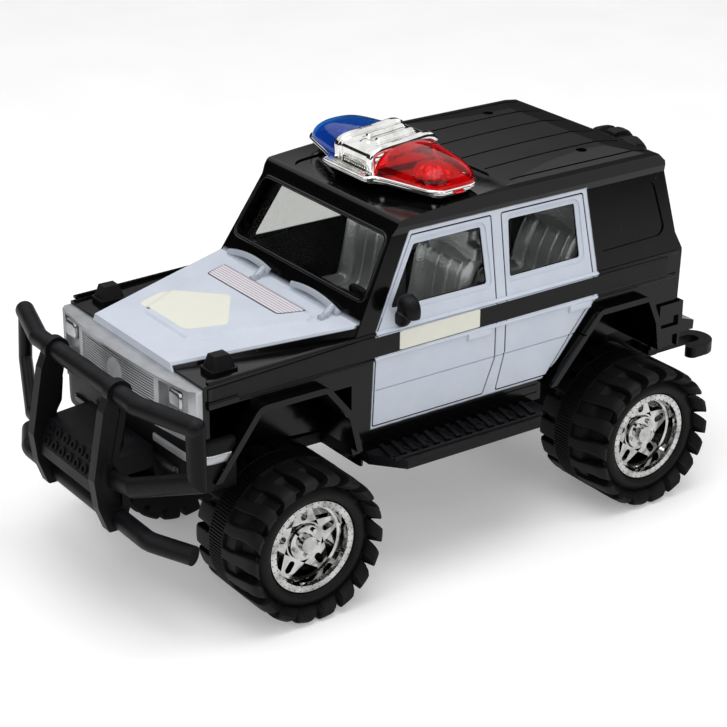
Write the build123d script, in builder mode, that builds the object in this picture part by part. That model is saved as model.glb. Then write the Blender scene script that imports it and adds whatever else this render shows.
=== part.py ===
"""Toy police off-road car, 1:16: a moulded shell on a rolling chassis.

The car faces -Y, its left side is +X, and the floor is at z = 0. Millimetres.
"""
import os

from build123d import *

os.makedirs("parts", exist_ok=True)

# wheels and axles
WHEELBASE = 178.0
FRONT_AXLE_Y = -82.5
REAR_AXLE_Y = FRONT_AXLE_Y + WHEELBASE
TYRE_R = 32.0
TYRE_INNER_X = 32.0
TYRE_OUTER_X = 75.0
RIM_R = 20.0
RIM_FACE_X = 69.5
DISC_X = 60.2
BEAD_R = 17.6
HUB_R = 8.5
AXLE_R = 2.0
AXLE_HALF = 64.0
RUNNING_GAP = 0.06
SPOKES = 5

# body shell
WALL = 2.0
BODY_HALF = 53.0
BELT_Z = 108.0
SILL_Z = 57.0
GUTTER_HALF = 48.3
GUTTER_Z = 148.0
ROOF_Z = 157.6
ROOF_MID = (36.0, 155.4)
ROOF_REAR = (94.0, 156.4)
FRONT_Y = -121.0
TAIL_Y = 123.3
SCREEN_FOOT = (-50.9, 107.6)
SCREEN_HEAD = (-26.2, 151.0)
SCREEN_PLANE = Plane(origin=(0, SCREEN_FOOT[0], SCREEN_FOOT[1]), x_dir=(1, 0, 0),
                     z_dir=(0, SCREEN_FOOT[1] - SCREEN_HEAD[1], SCREEN_HEAD[0] - SCREEN_FOOT[0]))
BAND_LOW = 96.2
BAND_T = 0.5
BAND_END_Y = 116.5
SEAM_WIDTH = 0.7
SEAM_DEPTH = 0.7
LIP_X = 57.6
LIP_T = 2.6
LINER_X = 30.0
LINER_T = 1.6
FRONT_ARCH = [(-127.5, 50.0), (-97.0, 90.2), (-67.5, 90.2), (-56.5, 76.5), (-49.0, 45.0)]
REAR_ARCH = [(38.0, 48.0), (75.5, 90.2), (102.0, 90.2), (107.0, 79.0), (111.3, 52.0)]
FRONT_ARCH_FOOT = ((-125.0, 67.0), (-45.0, 58.6))
REAR_ARCH_FOOT = ((40.0, 61.8), (118.0, 67.0))

# openings in the side walls, corners as (y, z)
FRONT_WINDOW = [(-32.6, 115.9), (-18.9, 139.6), (15.0, 139.8), (16.4, 115.8)]
REAR_WINDOW = [(28.5, 116.2), (29.5, 140.2), (65.0, 140.0), (66.4, 116.6)]
QUARTER_PANEL = [(75.8, 116.6), (75.6, 141.2), (109.3, 141.8), (115.0, 117.4)]
FRONT_DOOR = [(-42.6, 67.0), (-40.7, 108.0), (-20.2, 144.0), (20.6, 144.0), (20.6, 82.5), (14.4, 67.0)]
REAR_DOOR = [(20.6, 67.0), (25.2, 84.0), (25.2, 144.0), (69.6, 144.0), (73.0, 108.0), (73.4, 97.0),
             (62.6, 84.3), (48.7, 67.0)]

# hood, roof
HOOD_FRONT_HALF = 29.9
HOOD_FRONT = (-122.0, 107.1)
HOOD_REAR = (-48.5, 112.9)
ROOF_GROOVES = (9.7, 26.3, 42.9)
ROOF_HOLE_X = 32.0
ROOF_HOLE_Y = 81.0
ROOF_HOLE_R = 2.4

# interior
CABIN_FLOOR_Z = 76.0
REAR_FLOOR_Z = 96.0
SEAT_X = 25.0

# grille, lamps
GRILLE_BOTTOM_Z = 82.0
NOSE_BOTTOM_Z = 68.8
GRILLE_TOP_Z = 103.6
GRILLE_BOW = 3.8
SLATS = 12
LAMP_X = 42.2
TAB_X = 28.5
TAB_WIDTH = 23.0
LAMP_Z = 97.4

# bull bar
BAR_R = 4.0
LOOP_DEPTH = 5.8
RAIL_Y = -142.9
RAIL_Z = 98.2
RAIL_END = (69.0, -134.3, 98.0)
UPRIGHT_X = 25.5
UPRIGHT_T = 5.0

# light bar
LENS_FLOOR_Z = 159.5
LENS_T = 1.2
COVER_HALF = 13.3
COVER_PANEL = 7.6

# tow hooks and spare wheel
HOOK_Z = 51.5
HOOK_T = 5.0
SPARE_R = 32.0
SPARE_Z = 117.2
SPARE_REAR_Y = 137.0
SPARE_WIDTH = 12.6


def body_envelope(inset):
    """Outer form of the body, drawn in by inset: side view and cross-section intersected."""
    with BuildPart() as envelope:
        with BuildSketch(Plane.YZ) as side:
            with BuildLine():
                Polyline((TAIL_Y, 88), (TAIL_Y, 40), (FRONT_Y, 40), (FRONT_Y, 104.8), SCREEN_FOOT,
                         SCREEN_HEAD)
                ThreePointArc(SCREEN_HEAD, ROOF_MID, ROOF_REAR)
                Polyline(ROOF_REAR, (110.5, 153.9), (114.7, 150.0), (120.5, 117), (124, 109.5), (TAIL_Y, 88))
            make_face()
            fillet(side.vertices().filter_by(lambda v: v.Y > 150 and v.X != ROOF_REAR[0]), 2.8)
            if inset:
                offset(amount=-inset, kind=Kind.INTERSECTION)
        extrude(amount=60, both=True)
        with BuildSketch(Plane.XZ):
            with BuildLine():
                Polyline((0, 40), (BODY_HALF, 40), (BODY_HALF, BELT_Z), (47.2, 144.8),
                         (GUTTER_HALF, GUTTER_Z), (GUTTER_HALF, 153.4), (47.4, 155.0))
                ThreePointArc((47.4, 155.0), (23.5, 157.0), (0, ROOF_Z))
                Line((0, ROOF_Z), (0, 40))
            make_face()
            mirror(about=Plane.YZ)
            if inset:
                offset(amount=-inset, kind=Kind.INTERSECTION)
        extrude(amount=200, both=True, mode=Mode.INTERSECT)
    return envelope.part


def side_prism(corners, radius, x_from, depth, grow=0.0, ring=0.0):
    """Prism across the car from an outline (y, z); with ring, only a rim of that width."""
    with BuildPart() as prism:
        with BuildSketch(Plane.YZ.offset(x_from)) as outline:
            with BuildLine():
                Polyline(*corners, close=True)
            make_face()
            if radius:
                fillet(outline.vertices(), radius)
            if grow:
                offset(amount=grow, kind=Kind.INTERSECTION)
            if ring:
                offset(amount=-ring, kind=Kind.INTERSECTION, mode=Mode.SUBTRACT)
        extrude(amount=depth)
    return prism.part


def arch_sheet(corners, foot, thickness, x_from, depth):
    """Bent sheet over a wheel, its feet cut off along the line foot."""
    with BuildPart() as sheet:
        with BuildSketch(Plane.YZ.offset(x_from)) as outline:
            with BuildLine():
                Polyline(*corners, close=True)
            make_face()
            fillet(outline.vertices().group_by(Axis.Y)[-1], 4.0)
            offset(amount=thickness, kind=Kind.INTERSECTION)
        extrude(amount=depth)
        add(side_prism(corners, 0, x_from - 1, depth + 2), mode=Mode.SUBTRACT)
        (y0, z0), (y1, z1) = foot
        below = [(y0 - 20, z0), (y1 + 20, z1), (y1 + 20, 20), (y0 - 20, 20)]
        add(side_prism(below, 0, x_from - 1, depth + 2), mode=Mode.SUBTRACT)
    return sheet.part


def make_body_shell():
    """One moulding: fenders, doors, pillars, hood and roof, hollow and open below."""
    outer = body_envelope(0)
    inner = body_envelope(WALL)
    seam_floor = body_envelope(SEAM_DEPTH)

    with BuildPart() as seams:
        for door in (FRONT_DOOR, REAR_DOOR):
            add(side_prism(door, 1.2, 35, 25, ring=SEAM_WIDTH))
        add(side_prism(QUARTER_PANEL, 4.0, 35, 25))
        for window in (FRONT_WINDOW, REAR_WINDOW):
            add(side_prism(window, 1.5, 35, 25, grow=2.2))
        add(seam_floor, mode=Mode.SUBTRACT)

    with BuildPart() as roof_cuts:
        with BuildSketch(Plane.XY.offset(140)) as grooves:
            for x_groove in ROOF_GROOVES:
                with Locations((x_groove, 70), (-x_groove, 70)):
                    SlotOverall(74, 1.1, rotation=90)
            with Locations((0, 4)):
                RectangleRounded(72, 54, 6)
        extrude(amount=30)
        add(seam_floor, mode=Mode.SUBTRACT)

    with BuildPart() as hood_block:
        with BuildSketch(Plane.XZ.offset(-HOOD_FRONT[0])):
            with BuildLine():
                Polyline((-HOOD_FRONT_HALF - 2, GRILLE_TOP_Z), (HOOD_FRONT_HALF + 2, GRILLE_TOP_Z),
                         (HOOD_FRONT_HALF, HOOD_FRONT[1]), (-HOOD_FRONT_HALF, HOOD_FRONT[1]), close=True)
            make_face()
        with BuildSketch(Plane.XZ.offset(-HOOD_REAR[0])):
            with BuildLine():
                Polyline((-52.9, 105), (52.9, 105), (51.5, HOOD_REAR[1]), (-51.5, HOOD_REAR[1]), close=True)
            make_face()
        loft(ruled=True)

    hood_top = Plane(origin=(0, HOOD_FRONT[0], HOOD_FRONT[1]), x_dir=(1, 0, 0),
                     z_dir=(0, HOOD_FRONT[1] - HOOD_REAR[1], HOOD_REAR[0] - HOOD_FRONT[0]))
    with BuildPart() as body_shell:
        add(outer)
        add(inner, mode=Mode.SUBTRACT)
        add(hood_block.part)
        with BuildSketch(hood_top.offset(-0.3)) as plateau:
            with BuildLine():
                Polyline((-16.6, 15), (16.6, 15), (27.2, 38.5), (36.5, 60), (34, 65), (-34, 65), (-36.5, 60),
                         (-27.2, 38.5), close=True)
            make_face()
            fillet(plateau.vertices(), 1.0)
        extrude(amount=1.2, taper=45)
        # belt moulding with its two door handles, on both sides
        for x_side in (BODY_HALF - 0.5, -BODY_HALF - BAND_T):
            with BuildSketch(Plane.YZ.offset(x_side)):
                with BuildLine():
                    Polyline((-119, BAND_LOW), (-119, 103.4), (-46, 106.6), (BAND_END_Y, 107.4),
                             (BAND_END_Y, BAND_LOW), close=True)
                make_face()
                with Locations((11.2, BAND_LOW - 1.2), (65.6, BAND_LOW - 1.2)):
                    Rectangle(12, 3.4)
            extrude(amount=0.5 + BAND_T)
        # lower edge: nose, arches, sills and tail
        edge = [(-135, 20), (-135, NOSE_BOTTOM_Z), (FRONT_Y + WALL + 0.5, NOSE_BOTTOM_Z),
                (FRONT_Y + WALL + 0.5, 95), (-100, 95), (-100, 88), (-52.5, 88), (-52.5, SILL_Z), (46, SILL_Z),
                (46, 66), (76, 90), (103, 90), (106, 63.5), (140, 63.5), (140, 20)]
        add(side_prism(edge, 0, -60, 120), mode=Mode.SUBTRACT)
        for arch, foot in ((FRONT_ARCH, FRONT_ARCH_FOOT), (REAR_ARCH, REAR_ARCH_FOOT)):
            add(side_prism(arch, 0, -60, 120), mode=Mode.SUBTRACT)
            for side in (1, -1):
                x_lip = 50.5 if side > 0 else -LIP_X
                x_liner = LINER_X if side > 0 else -52
                x_wall = LINER_X if side > 0 else -LINER_X - LINER_T
                add(arch_sheet(arch, foot, LIP_T, x_lip, LIP_X - 50.5))
                add(arch_sheet(arch, foot, LINER_T, x_liner, 52 - LINER_X))
                (y0, z0), (y1, z1) = foot
                with BuildSketch(Plane.YZ.offset(x_wall)):
                    with BuildLine():
                        Polyline(*arch, close=True)
                    make_face()
                    with BuildLine():
                        Polyline((y0 - 20, z0), (y1 + 20, z1), (y1 + 20, 20), (y0 - 20, 20), close=True)
                    make_face(mode=Mode.SUBTRACT)
                extrude(amount=LINER_T)
        # windows
        for window in (FRONT_WINDOW, REAR_WINDOW):
            add(side_prism(window, 1.2, -60, 120), mode=Mode.SUBTRACT)
        add(seams.part, mode=Mode.SUBTRACT)
        add(seams.part.mirror(Plane.YZ), mode=Mode.SUBTRACT)
        add(roof_cuts.part, mode=Mode.SUBTRACT)
        # pressed lines: door crease and two sill grooves
        for y_mid, z_line, length in ((13, 83.0, 108), (2, 64.4, 84), (2, 60.6, 84)):
            with BuildSketch(Plane.YZ.offset(-60)):
                with Locations((y_mid, z_line)):
                    Rectangle(length, 0.6)
            extrude(amount=60 - BODY_HALF + 0.4, mode=Mode.SUBTRACT)
            with BuildSketch(Plane.YZ.offset(BODY_HALF - 0.4)):
                with Locations((y_mid, z_line)):
                    Rectangle(length, 0.6)
            extrude(amount=60 - BODY_HALF, mode=Mode.SUBTRACT)
        # windscreen and tailgate openings
        with BuildSketch(SCREEN_PLANE) as opening:
            with BuildLine():
                Polyline((-47.6, 15.4), (47.6, 15.4), (44.2, 41.7), (-44.2, 41.7), close=True)
            make_face()
            fillet(opening.vertices(), 3.0)
        extrude(amount=6, both=True, mode=Mode.SUBTRACT)
        with BuildSketch(Plane.XZ.offset(-112)) as tailgate:
            with BuildLine():
                Polyline((-41, 119), (41, 119), (37.5, 142), (-37.5, 142), close=True)
            make_face()
            fillet(tailgate.vertices(), 3.0)
        extrude(amount=-20, mode=Mode.SUBTRACT)
        # two fixing holes in the roof
        with BuildSketch(Plane.XY.offset(ROOF_Z - 8)):
            with Locations((ROOF_HOLE_X, ROOF_HOLE_Y), (-ROOF_HOLE_X, ROOF_HOLE_Y)):
                Circle(ROOF_HOLE_R)
        extrude(amount=12, mode=Mode.SUBTRACT)
    body_shell.part.label = "body_shell"
    export_step(body_shell.part, "parts/body_shell.step")


def make_glazing():
    """Clear sheets that lie against the inside of the shell."""
    inner = body_envelope(WALL)
    core = body_envelope(WALL + 1.0)
    for name, x_from in (("left", 30), ("right", -56)):
        with BuildPart() as side_glass:
            for window in (FRONT_WINDOW, REAR_WINDOW):
                add(side_prism(window, 1.2, x_from, 26, grow=1.6))
            add(inner, mode=Mode.INTERSECT)
            add(core, mode=Mode.SUBTRACT)
        side_glass.part.label = f"{name}_side_glass"
        export_step(side_glass.part, f"parts/{name}_side_glass.step")
    with BuildPart() as windscreen:
        with BuildSketch(SCREEN_PLANE) as outline:
            with BuildLine():
                Polyline((-48.6, 13.8), (48.6, 13.8), (45.0, 43.0), (-45.0, 43.0), close=True)
            make_face()
            fillet(outline.vertices(), 3.0)
        extrude(amount=8, both=True)
        add(inner, mode=Mode.INTERSECT)
        add(core, mode=Mode.SUBTRACT)
    windscreen.part.label = "windscreen"
    export_step(windscreen.part, "parts/windscreen.step")
    with BuildPart() as rear_window:
        with BuildSketch(Plane.XZ.offset(-112)) as outline:
            with BuildLine():
                Polyline((-42.5, 117.5), (42.5, 117.5), (39, 143.5), (-39, 143.5), close=True)
            make_face()
            fillet(outline.vertices(), 3.0)
        extrude(amount=-14)
        add(inner, mode=Mode.INTERSECT)
        add(core, mode=Mode.SUBTRACT)
    rear_window.part.label = "rear_window"
    export_step(rear_window.part, "parts/rear_window.step")


def seat_channel(panel, y_back, x_from):
    """Thin groove that follows the front and top of a seat's outline, up to y_back."""
    outside = [(y - 0.7, z + 0.7) if y < y_back else (y + 5, z + 0.7) for y, z in panel]
    inside = [(y + 0.7, z - 0.7) if y < y_back else (y + 6, z) for y, z in panel]
    with BuildPart() as channel:
        add(side_prism(outside, 0, x_from, 1.0))
        add(side_prism(inside, 0, x_from - 1, 3), mode=Mode.SUBTRACT)
    return channel.part


def make_seat(name, x_mid, y_front, z_floor, squab):
    """One moulded seat: squab, back with side bolsters and sewn-look channels, head slab."""
    seat_top = z_floor + squab
    panel = [(y_front, z_floor), (y_front, seat_top - 3), (y_front + 3, seat_top),
             (y_front + 21, seat_top - 1), (y_front + 23.5, seat_top + 12), (y_front + 26.5, 119),
             (y_front + 32, 119), (y_front + 31, z_floor)]
    bolster = [(y_front, z_floor), (y_front - 1, seat_top - 2), (y_front + 2, seat_top + 2),
               (y_front + 17, seat_top + 1.4), (y_front + 19.5, seat_top + 12), (y_front + 23.6, 118),
               (y_front + 26, 120.5), (y_front + 32, 120.5), (y_front + 31, z_floor)]
    with BuildPart() as seat:
        add(side_prism(panel, 0.6, x_mid - 18, 36))
        for x_from in (x_mid - 18.4, x_mid + 13.4):
            add(side_prism(bolster, 0.9, x_from, 5))
        # channels between the three panels
        for x_from in (x_mid - 5.6, x_mid + 4.6):
            add(seat_channel(panel, y_front + 28, x_from), mode=Mode.SUBTRACT)
        # head slab, leaning back
        slab = Plane(origin=(x_mid, y_front + 27.5, 120.0), x_dir=(1, 0, 0), z_dir=(0, -0.985, 0.17))
        with BuildSketch(slab) as face:
            with BuildLine():
                Polyline((-14, 0), (-17, 4), (-17, 15), (17, 15), (17, 4), (14, 0), close=True)
            make_face()
            fillet(face.vertices(), 1.2)
        extrude(amount=-6.0)
    seat.part.label = name
    export_step(seat.part, f"parts/{name}.step")


def make_interior():
    """Stepped floor tub, dashboard, steering wheel and four seats."""
    inside = BODY_HALF - WALL
    with BuildPart() as interior_tub:
        profile = [(-50.5, CABIN_FLOOR_Z - 2), (-50.5, 103), (-48.5, 103), (-48.5, CABIN_FLOOR_Z),
                   (44, CABIN_FLOOR_Z), (44, REAR_FLOOR_Z), (119, REAR_FLOOR_Z), (119, REAR_FLOOR_Z - 2),
                   (46, REAR_FLOOR_Z - 2), (46, CABIN_FLOOR_Z - 2)]
        add(side_prism(profile, 0, -inside, 2 * inside))
    interior_tub.part.label = "interior_tub"
    export_step(interior_tub.part, "parts/interior_tub.step")

    with BuildPart() as dashboard:
        add(side_prism([(-48.5, 92), (-48.5, 110.5), (-36, 111.5), (-31, 108), (-34, 97), (-40, 92)],
                       1.5, -48, 96))
        with BuildSketch(Plane.YZ.offset(SEAT_X - 9)):
            with BuildLine():
                Polyline((-42, 108), (-40, 115), (-33, 114.5), (-31, 108), close=True)
            make_face()
        extrude(amount=18)
        add(body_envelope(WALL), mode=Mode.INTERSECT)
    dashboard.part.label = "dashboard"
    export_step(dashboard.part, "parts/dashboard.step")

    wheel_plane = Plane(origin=(SEAT_X, -25.0, 108.5), x_dir=(1, 0, 0), z_dir=(0, 0.82, 0.57))
    with BuildPart() as steering_wheel:
        with BuildSketch(Plane(origin=wheel_plane.origin, x_dir=(1, 0, 0), z_dir=(0, -0.57, 0.82))):
            with Locations((9.0, 0)):
                Circle(1.2)
        revolve(axis=Axis(wheel_plane.origin, wheel_plane.z_dir))
        with BuildSketch(wheel_plane.offset(-1.2)):
            Rectangle(18, 2.2)
            with Locations((0, -4.5)):
                Rectangle(2.2, 9)
            Circle(3.2)
        extrude(amount=2.2)
        with BuildSketch(wheel_plane.offset(-7.6)):
            Circle(1.6)
        extrude(amount=7.2)
    steering_wheel.part.label = "steering_wheel"
    export_step(steering_wheel.part, "parts/steering_wheel.step")

    rows = (("front", -12.0, CABIN_FLOOR_Z, 14.0), ("rear", 46.0, REAR_FLOOR_Z, 4.0))
    for row, y_front, z_floor, squab in rows:
        for name, x_mid in (("left", SEAT_X), ("right", -SEAT_X)):
            make_seat(f"{row}_{name}_seat", x_mid, y_front, z_floor, squab)


def make_chassis():
    """Floor pan with bearing towers, front horns and a rear tow bar."""
    towers = [(FRONT_AXLE_Y, 20.0), (REAR_AXLE_Y, 20.0)]
    with BuildPart() as chassis:
        with BuildSketch(Plane.XY.offset(52)):
            with BuildLine():
                Polyline((-27, -137), (27, -137), (27, -50), (46, -46), (46, 42), (27, 46), (27, 123.4),
                         (-27, 123.4), (-27, 46), (-46, 42), (-46, -46), (-27, -50), close=True)
            make_face()
        extrude(amount=5)
        for y_axle, x_tower in towers:
            tower = [(y_axle - 9, 53), (y_axle - 5, 28), (y_axle - 2, 26), (y_axle + 2, 26),
                     (y_axle + 5, 28), (y_axle + 9, 53)]
            for x_from in (x_tower, -x_tower - 7):
                add(side_prism(tower, 0, x_from, 7))
            with BuildSketch(Plane.YZ.offset(-30)):
                with Locations((y_axle, TYRE_R)):
                    Circle(AXLE_R + RUNNING_GAP)
            extrude(amount=60, mode=Mode.SUBTRACT)
        # posts that carry the shell and the tub
        with BuildSketch(Plane.XY.offset(57)):
            with Locations((-22, -30), (22, -30), (-22, 34), (22, 34)):
                Circle(4)
        extrude(amount=CABIN_FLOOR_Z - 2 - 57)
        with BuildSketch(Plane.XY.offset(57)):
            with Locations((-20, 108), (20, 108)):
                Circle(4)
        extrude(amount=REAR_FLOOR_Z - 2 - 57)
        # front horns
        for x_mid in (-22.0, 22.0):
            add(side_prism([(-128, 57), (-128, 66), (-112, 66), (-108, 57)], 0, x_mid - 4, 8))
    chassis.part.label = "chassis"
    export_step(chassis.part, "parts/chassis.step")

    with BuildPart() as front_crossmember:
        with BuildSketch(Plane.XY.offset(66)) as outline:
            with Locations((0, -122.8)):
                Rectangle(84, 8.5)
            with Locations((TAB_X, -125.2), (-TAB_X, -125.2)):
                Rectangle(TAB_WIDTH, 5.4)
            fillet(outline.vertices(), 0.4)
        extrude(amount=2.2)
    front_crossmember.part.label = "front_crossmember"
    export_step(front_crossmember.part, "parts/front_crossmember.step")

    with BuildPart() as friction_motor:
        with BuildSketch(Plane.XY.offset(24)) as outline:
            with Locations((0, REAR_AXLE_Y - 6)):
                Rectangle(34, 34)
            fillet(outline.vertices(), 3)
        extrude(amount=28)
        with BuildSketch(Plane.YZ.offset(-20)):
            with Locations((REAR_AXLE_Y, TYRE_R)):
                Circle(AXLE_R + 0.8)
        extrude(amount=40, mode=Mode.SUBTRACT)
    friction_motor.part.label = "friction_motor"
    export_step(friction_motor.part, "parts/friction_motor.step")


def make_wheels():
    """Rims and tyres pressed on two steel axles."""
    for row, y_axle in (("front", FRONT_AXLE_Y), ("rear", REAR_AXLE_Y)):
        spin = Axis((0, y_axle, TYRE_R), (1, 0, 0))
        radial = Plane(origin=(0, y_axle, TYRE_R), x_dir=(1, 0, 0), z_dir=(0, 0, 1))
        with BuildPart() as tyre:
            with BuildSketch(radial):
                with BuildLine():
                    Polyline((34, BEAD_R), (67.4, BEAD_R), (67.4, 20.1), (69.8, 20.1), (71.8, 22.4), (73.6, 25.6),
                             (TYRE_OUTER_X, 26.6), (TYRE_OUTER_X, TYRE_R - 1), (TYRE_OUTER_X - 1, TYRE_R),
                             (TYRE_INNER_X + 1, TYRE_R), (TYRE_INNER_X, TYRE_R - 1), (TYRE_INNER_X, 26.6),
                             (33.4, 25.6), (34, 21), close=True)
                make_face()
            revolve(axis=spin)
        tyre_right = tyre.part.mirror(Plane.YZ)
        tyre.part.label = f"{row}_left_tyre"
        export_step(tyre.part, f"parts/{row}_left_tyre.step")
        tyre_right.label = f"{row}_right_tyre"
        export_step(tyre_right, f"parts/{row}_right_tyre.step")

        disc_plane = Plane(origin=(DISC_X, y_axle, TYRE_R), x_dir=(0, 1, 0), z_dir=(1, 0, 0))
        with BuildPart() as rim:
            with BuildSketch(radial):
                with BuildLine():
                    Polyline((34, BEAD_R), (67.5, BEAD_R), (68, RIM_R), (RIM_FACE_X, RIM_R - 0.4),
                             (RIM_FACE_X, 17), (67.5, 16.4), (64.6, 16.2), (64.2, 15.2), (34, 15.2), close=True)
                make_face()
            revolve(axis=spin)
            # split spokes: each pair of bars widens outward round an oval window
            with BuildSketch(disc_plane):
                Circle(HUB_R)
                with PolarLocations(12.2, SPOKES, 90):
                    Trapezoid(11.6, 8.4, 112, 112, rotation=90)
                with PolarLocations(12.0, SPOKES, 90):
                    SlotOverall(5.6, 3.0, mode=Mode.SUBTRACT)
            extrude(amount=3.4)
            with BuildSketch(disc_plane.offset(3.4)):
                Circle(HUB_R - 0.6)
            extrude(amount=1.4, taper=20)
            # hub barrel behind the disc, cap and five nut bosses in front
            with BuildSketch(Plane(origin=(34, y_axle, TYRE_R), x_dir=(0, 1, 0), z_dir=(1, 0, 0))):
                Circle(5)
            extrude(amount=DISC_X - 33)
            with BuildSketch(disc_plane.offset(4.6)):
                Circle(3.9)
            extrude(amount=2.6, taper=10)
            with BuildSketch(disc_plane.offset(4.6)):
                with PolarLocations(5.7, SPOKES, 54):
                    RegularPolygon(1.0, 6)
            extrude(amount=1.4)
            with BuildSketch(Plane(origin=(30, y_axle, TYRE_R), x_dir=(0, 1, 0), z_dir=(1, 0, 0))):
                Circle(AXLE_R)
            extrude(amount=AXLE_HALF - 30, mode=Mode.SUBTRACT)
        rim_right = rim.part.mirror(Plane.YZ)
        rim.part.label = f"{row}_left_rim"
        export_step(rim.part, f"parts/{row}_left_rim.step")
        rim_right.label = f"{row}_right_rim"
        export_step(rim_right, f"parts/{row}_right_rim.step")

        with BuildPart() as axle:
            with BuildSketch(Plane.YZ.offset(-AXLE_HALF)):
                with Locations((y_axle, TYRE_R)):
                    Circle(AXLE_R)
            extrude(amount=2 * AXLE_HALF)
        axle.part.label = f"{row}_axle"
        export_step(axle.part, f"parts/{row}_axle.step")


def make_front():
    """Grille panel with sunk lamps, two headlamps and the fender-top lamps."""
    with BuildPart() as grille_panel:
        with BuildSketch(Plane.XY.offset(GRILLE_BOTTOM_Z)):
            with BuildLine():
                ThreePointArc((-50.5, -126.2), (0, -130), (50.5, -126.2))
                Polyline((50.5, -126.2), (52.6, -124), (52.6, FRONT_Y), (-52.6, FRONT_Y), (-52.6, -124),
                         (-50.5, -126.2))
            make_face()
        extrude(amount=GRILLE_TOP_Z - GRILLE_BOTTOM_Z)
        with BuildSketch(Plane.XZ.offset(124.2)) as pocket:
            with Locations((39.7, 94.6), (-39.7, 94.6)):
                Rectangle(15.4, 15.4)
            fillet(pocket.vertices(), 1.0)
        extrude(amount=12, mode=Mode.SUBTRACT)
        for i in range(SLATS):
            with BuildSketch(Plane.XY.offset(88.3 + 1.12 * i)):
                with BuildLine():
                    ThreePointArc((-50.5, -126.8), (0, -131), (50.5, -126.8))
                    Line((50.5, -126.8), (50.5, -125.2))
                    ThreePointArc((50.5, -125.2), (0, -129), (-50.5, -125.2))
                    Line((-50.5, -125.2), (-50.5, -126.8))
                make_face()
                Rectangle(57.0, 400, mode=Mode.INTERSECT)
            extrude(amount=0.56, mode=Mode.SUBTRACT)
        with BuildSketch(Plane.XZ.offset(126)):
            with Locations((0, 94.2)):
                Circle(6.0)
        extrude(amount=4.1)
    grille_panel.part.label = "grille_panel"
    export_step(grille_panel.part, "parts/grille_panel.step")

    for name, side in (("left", 1), ("right", -1)):
        with BuildPart() as headlamp:
            with BuildSketch(Plane.XZ.offset(124.2)) as lens:
                with Locations((side * LAMP_X, LAMP_Z)):
                    Rectangle(10.0, 7.8)
                fillet(lens.vertices(), 2.4)
            extrude(amount=3.4)
            fillet(headlamp.faces().sort_by(Axis.Y)[0].edges(), 1.6)
        headlamp.part.label = f"{name}_headlamp"
        export_step(headlamp.part, f"parts/{name}_headlamp.step")

        with BuildPart() as turn_lamp:
            with BuildSketch(Plane.XY.offset(105.2)) as foot:
                with Locations((side * 43.4, -108.0)):
                    Rectangle(10.4, 12)
                fillet(foot.vertices(), 1.6)
            extrude(amount=2.0)
            with BuildSketch(Plane.XY.offset(107.2)) as dome:
                with Locations((side * 43.4, -108.0)):
                    Rectangle(9.0, 10.4)
                fillet(dome.vertices(), 1.8)
            extrude(amount=5.2, taper=20)
            add(body_envelope(0), mode=Mode.SUBTRACT)
        turn_lamp.part.label = f"{name}_turn_lamp"
        export_step(turn_lamp.part, f"parts/{name}_turn_lamp.step")


def tube(points, radii, radius):
    """Round bar along a bent route; without radii its corners are mitred."""
    with BuildPart() as bar:
        with BuildLine() as route:
            if radii:
                FilletPolyline(*points, radius=radii)
            else:
                Polyline(*points)
        with BuildSketch(Plane(origin=route.line @ 0, z_dir=route.line % 0)):
            Circle(radius)
        sweep(transition=Transition.RIGHT)
    return bar.part


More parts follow.
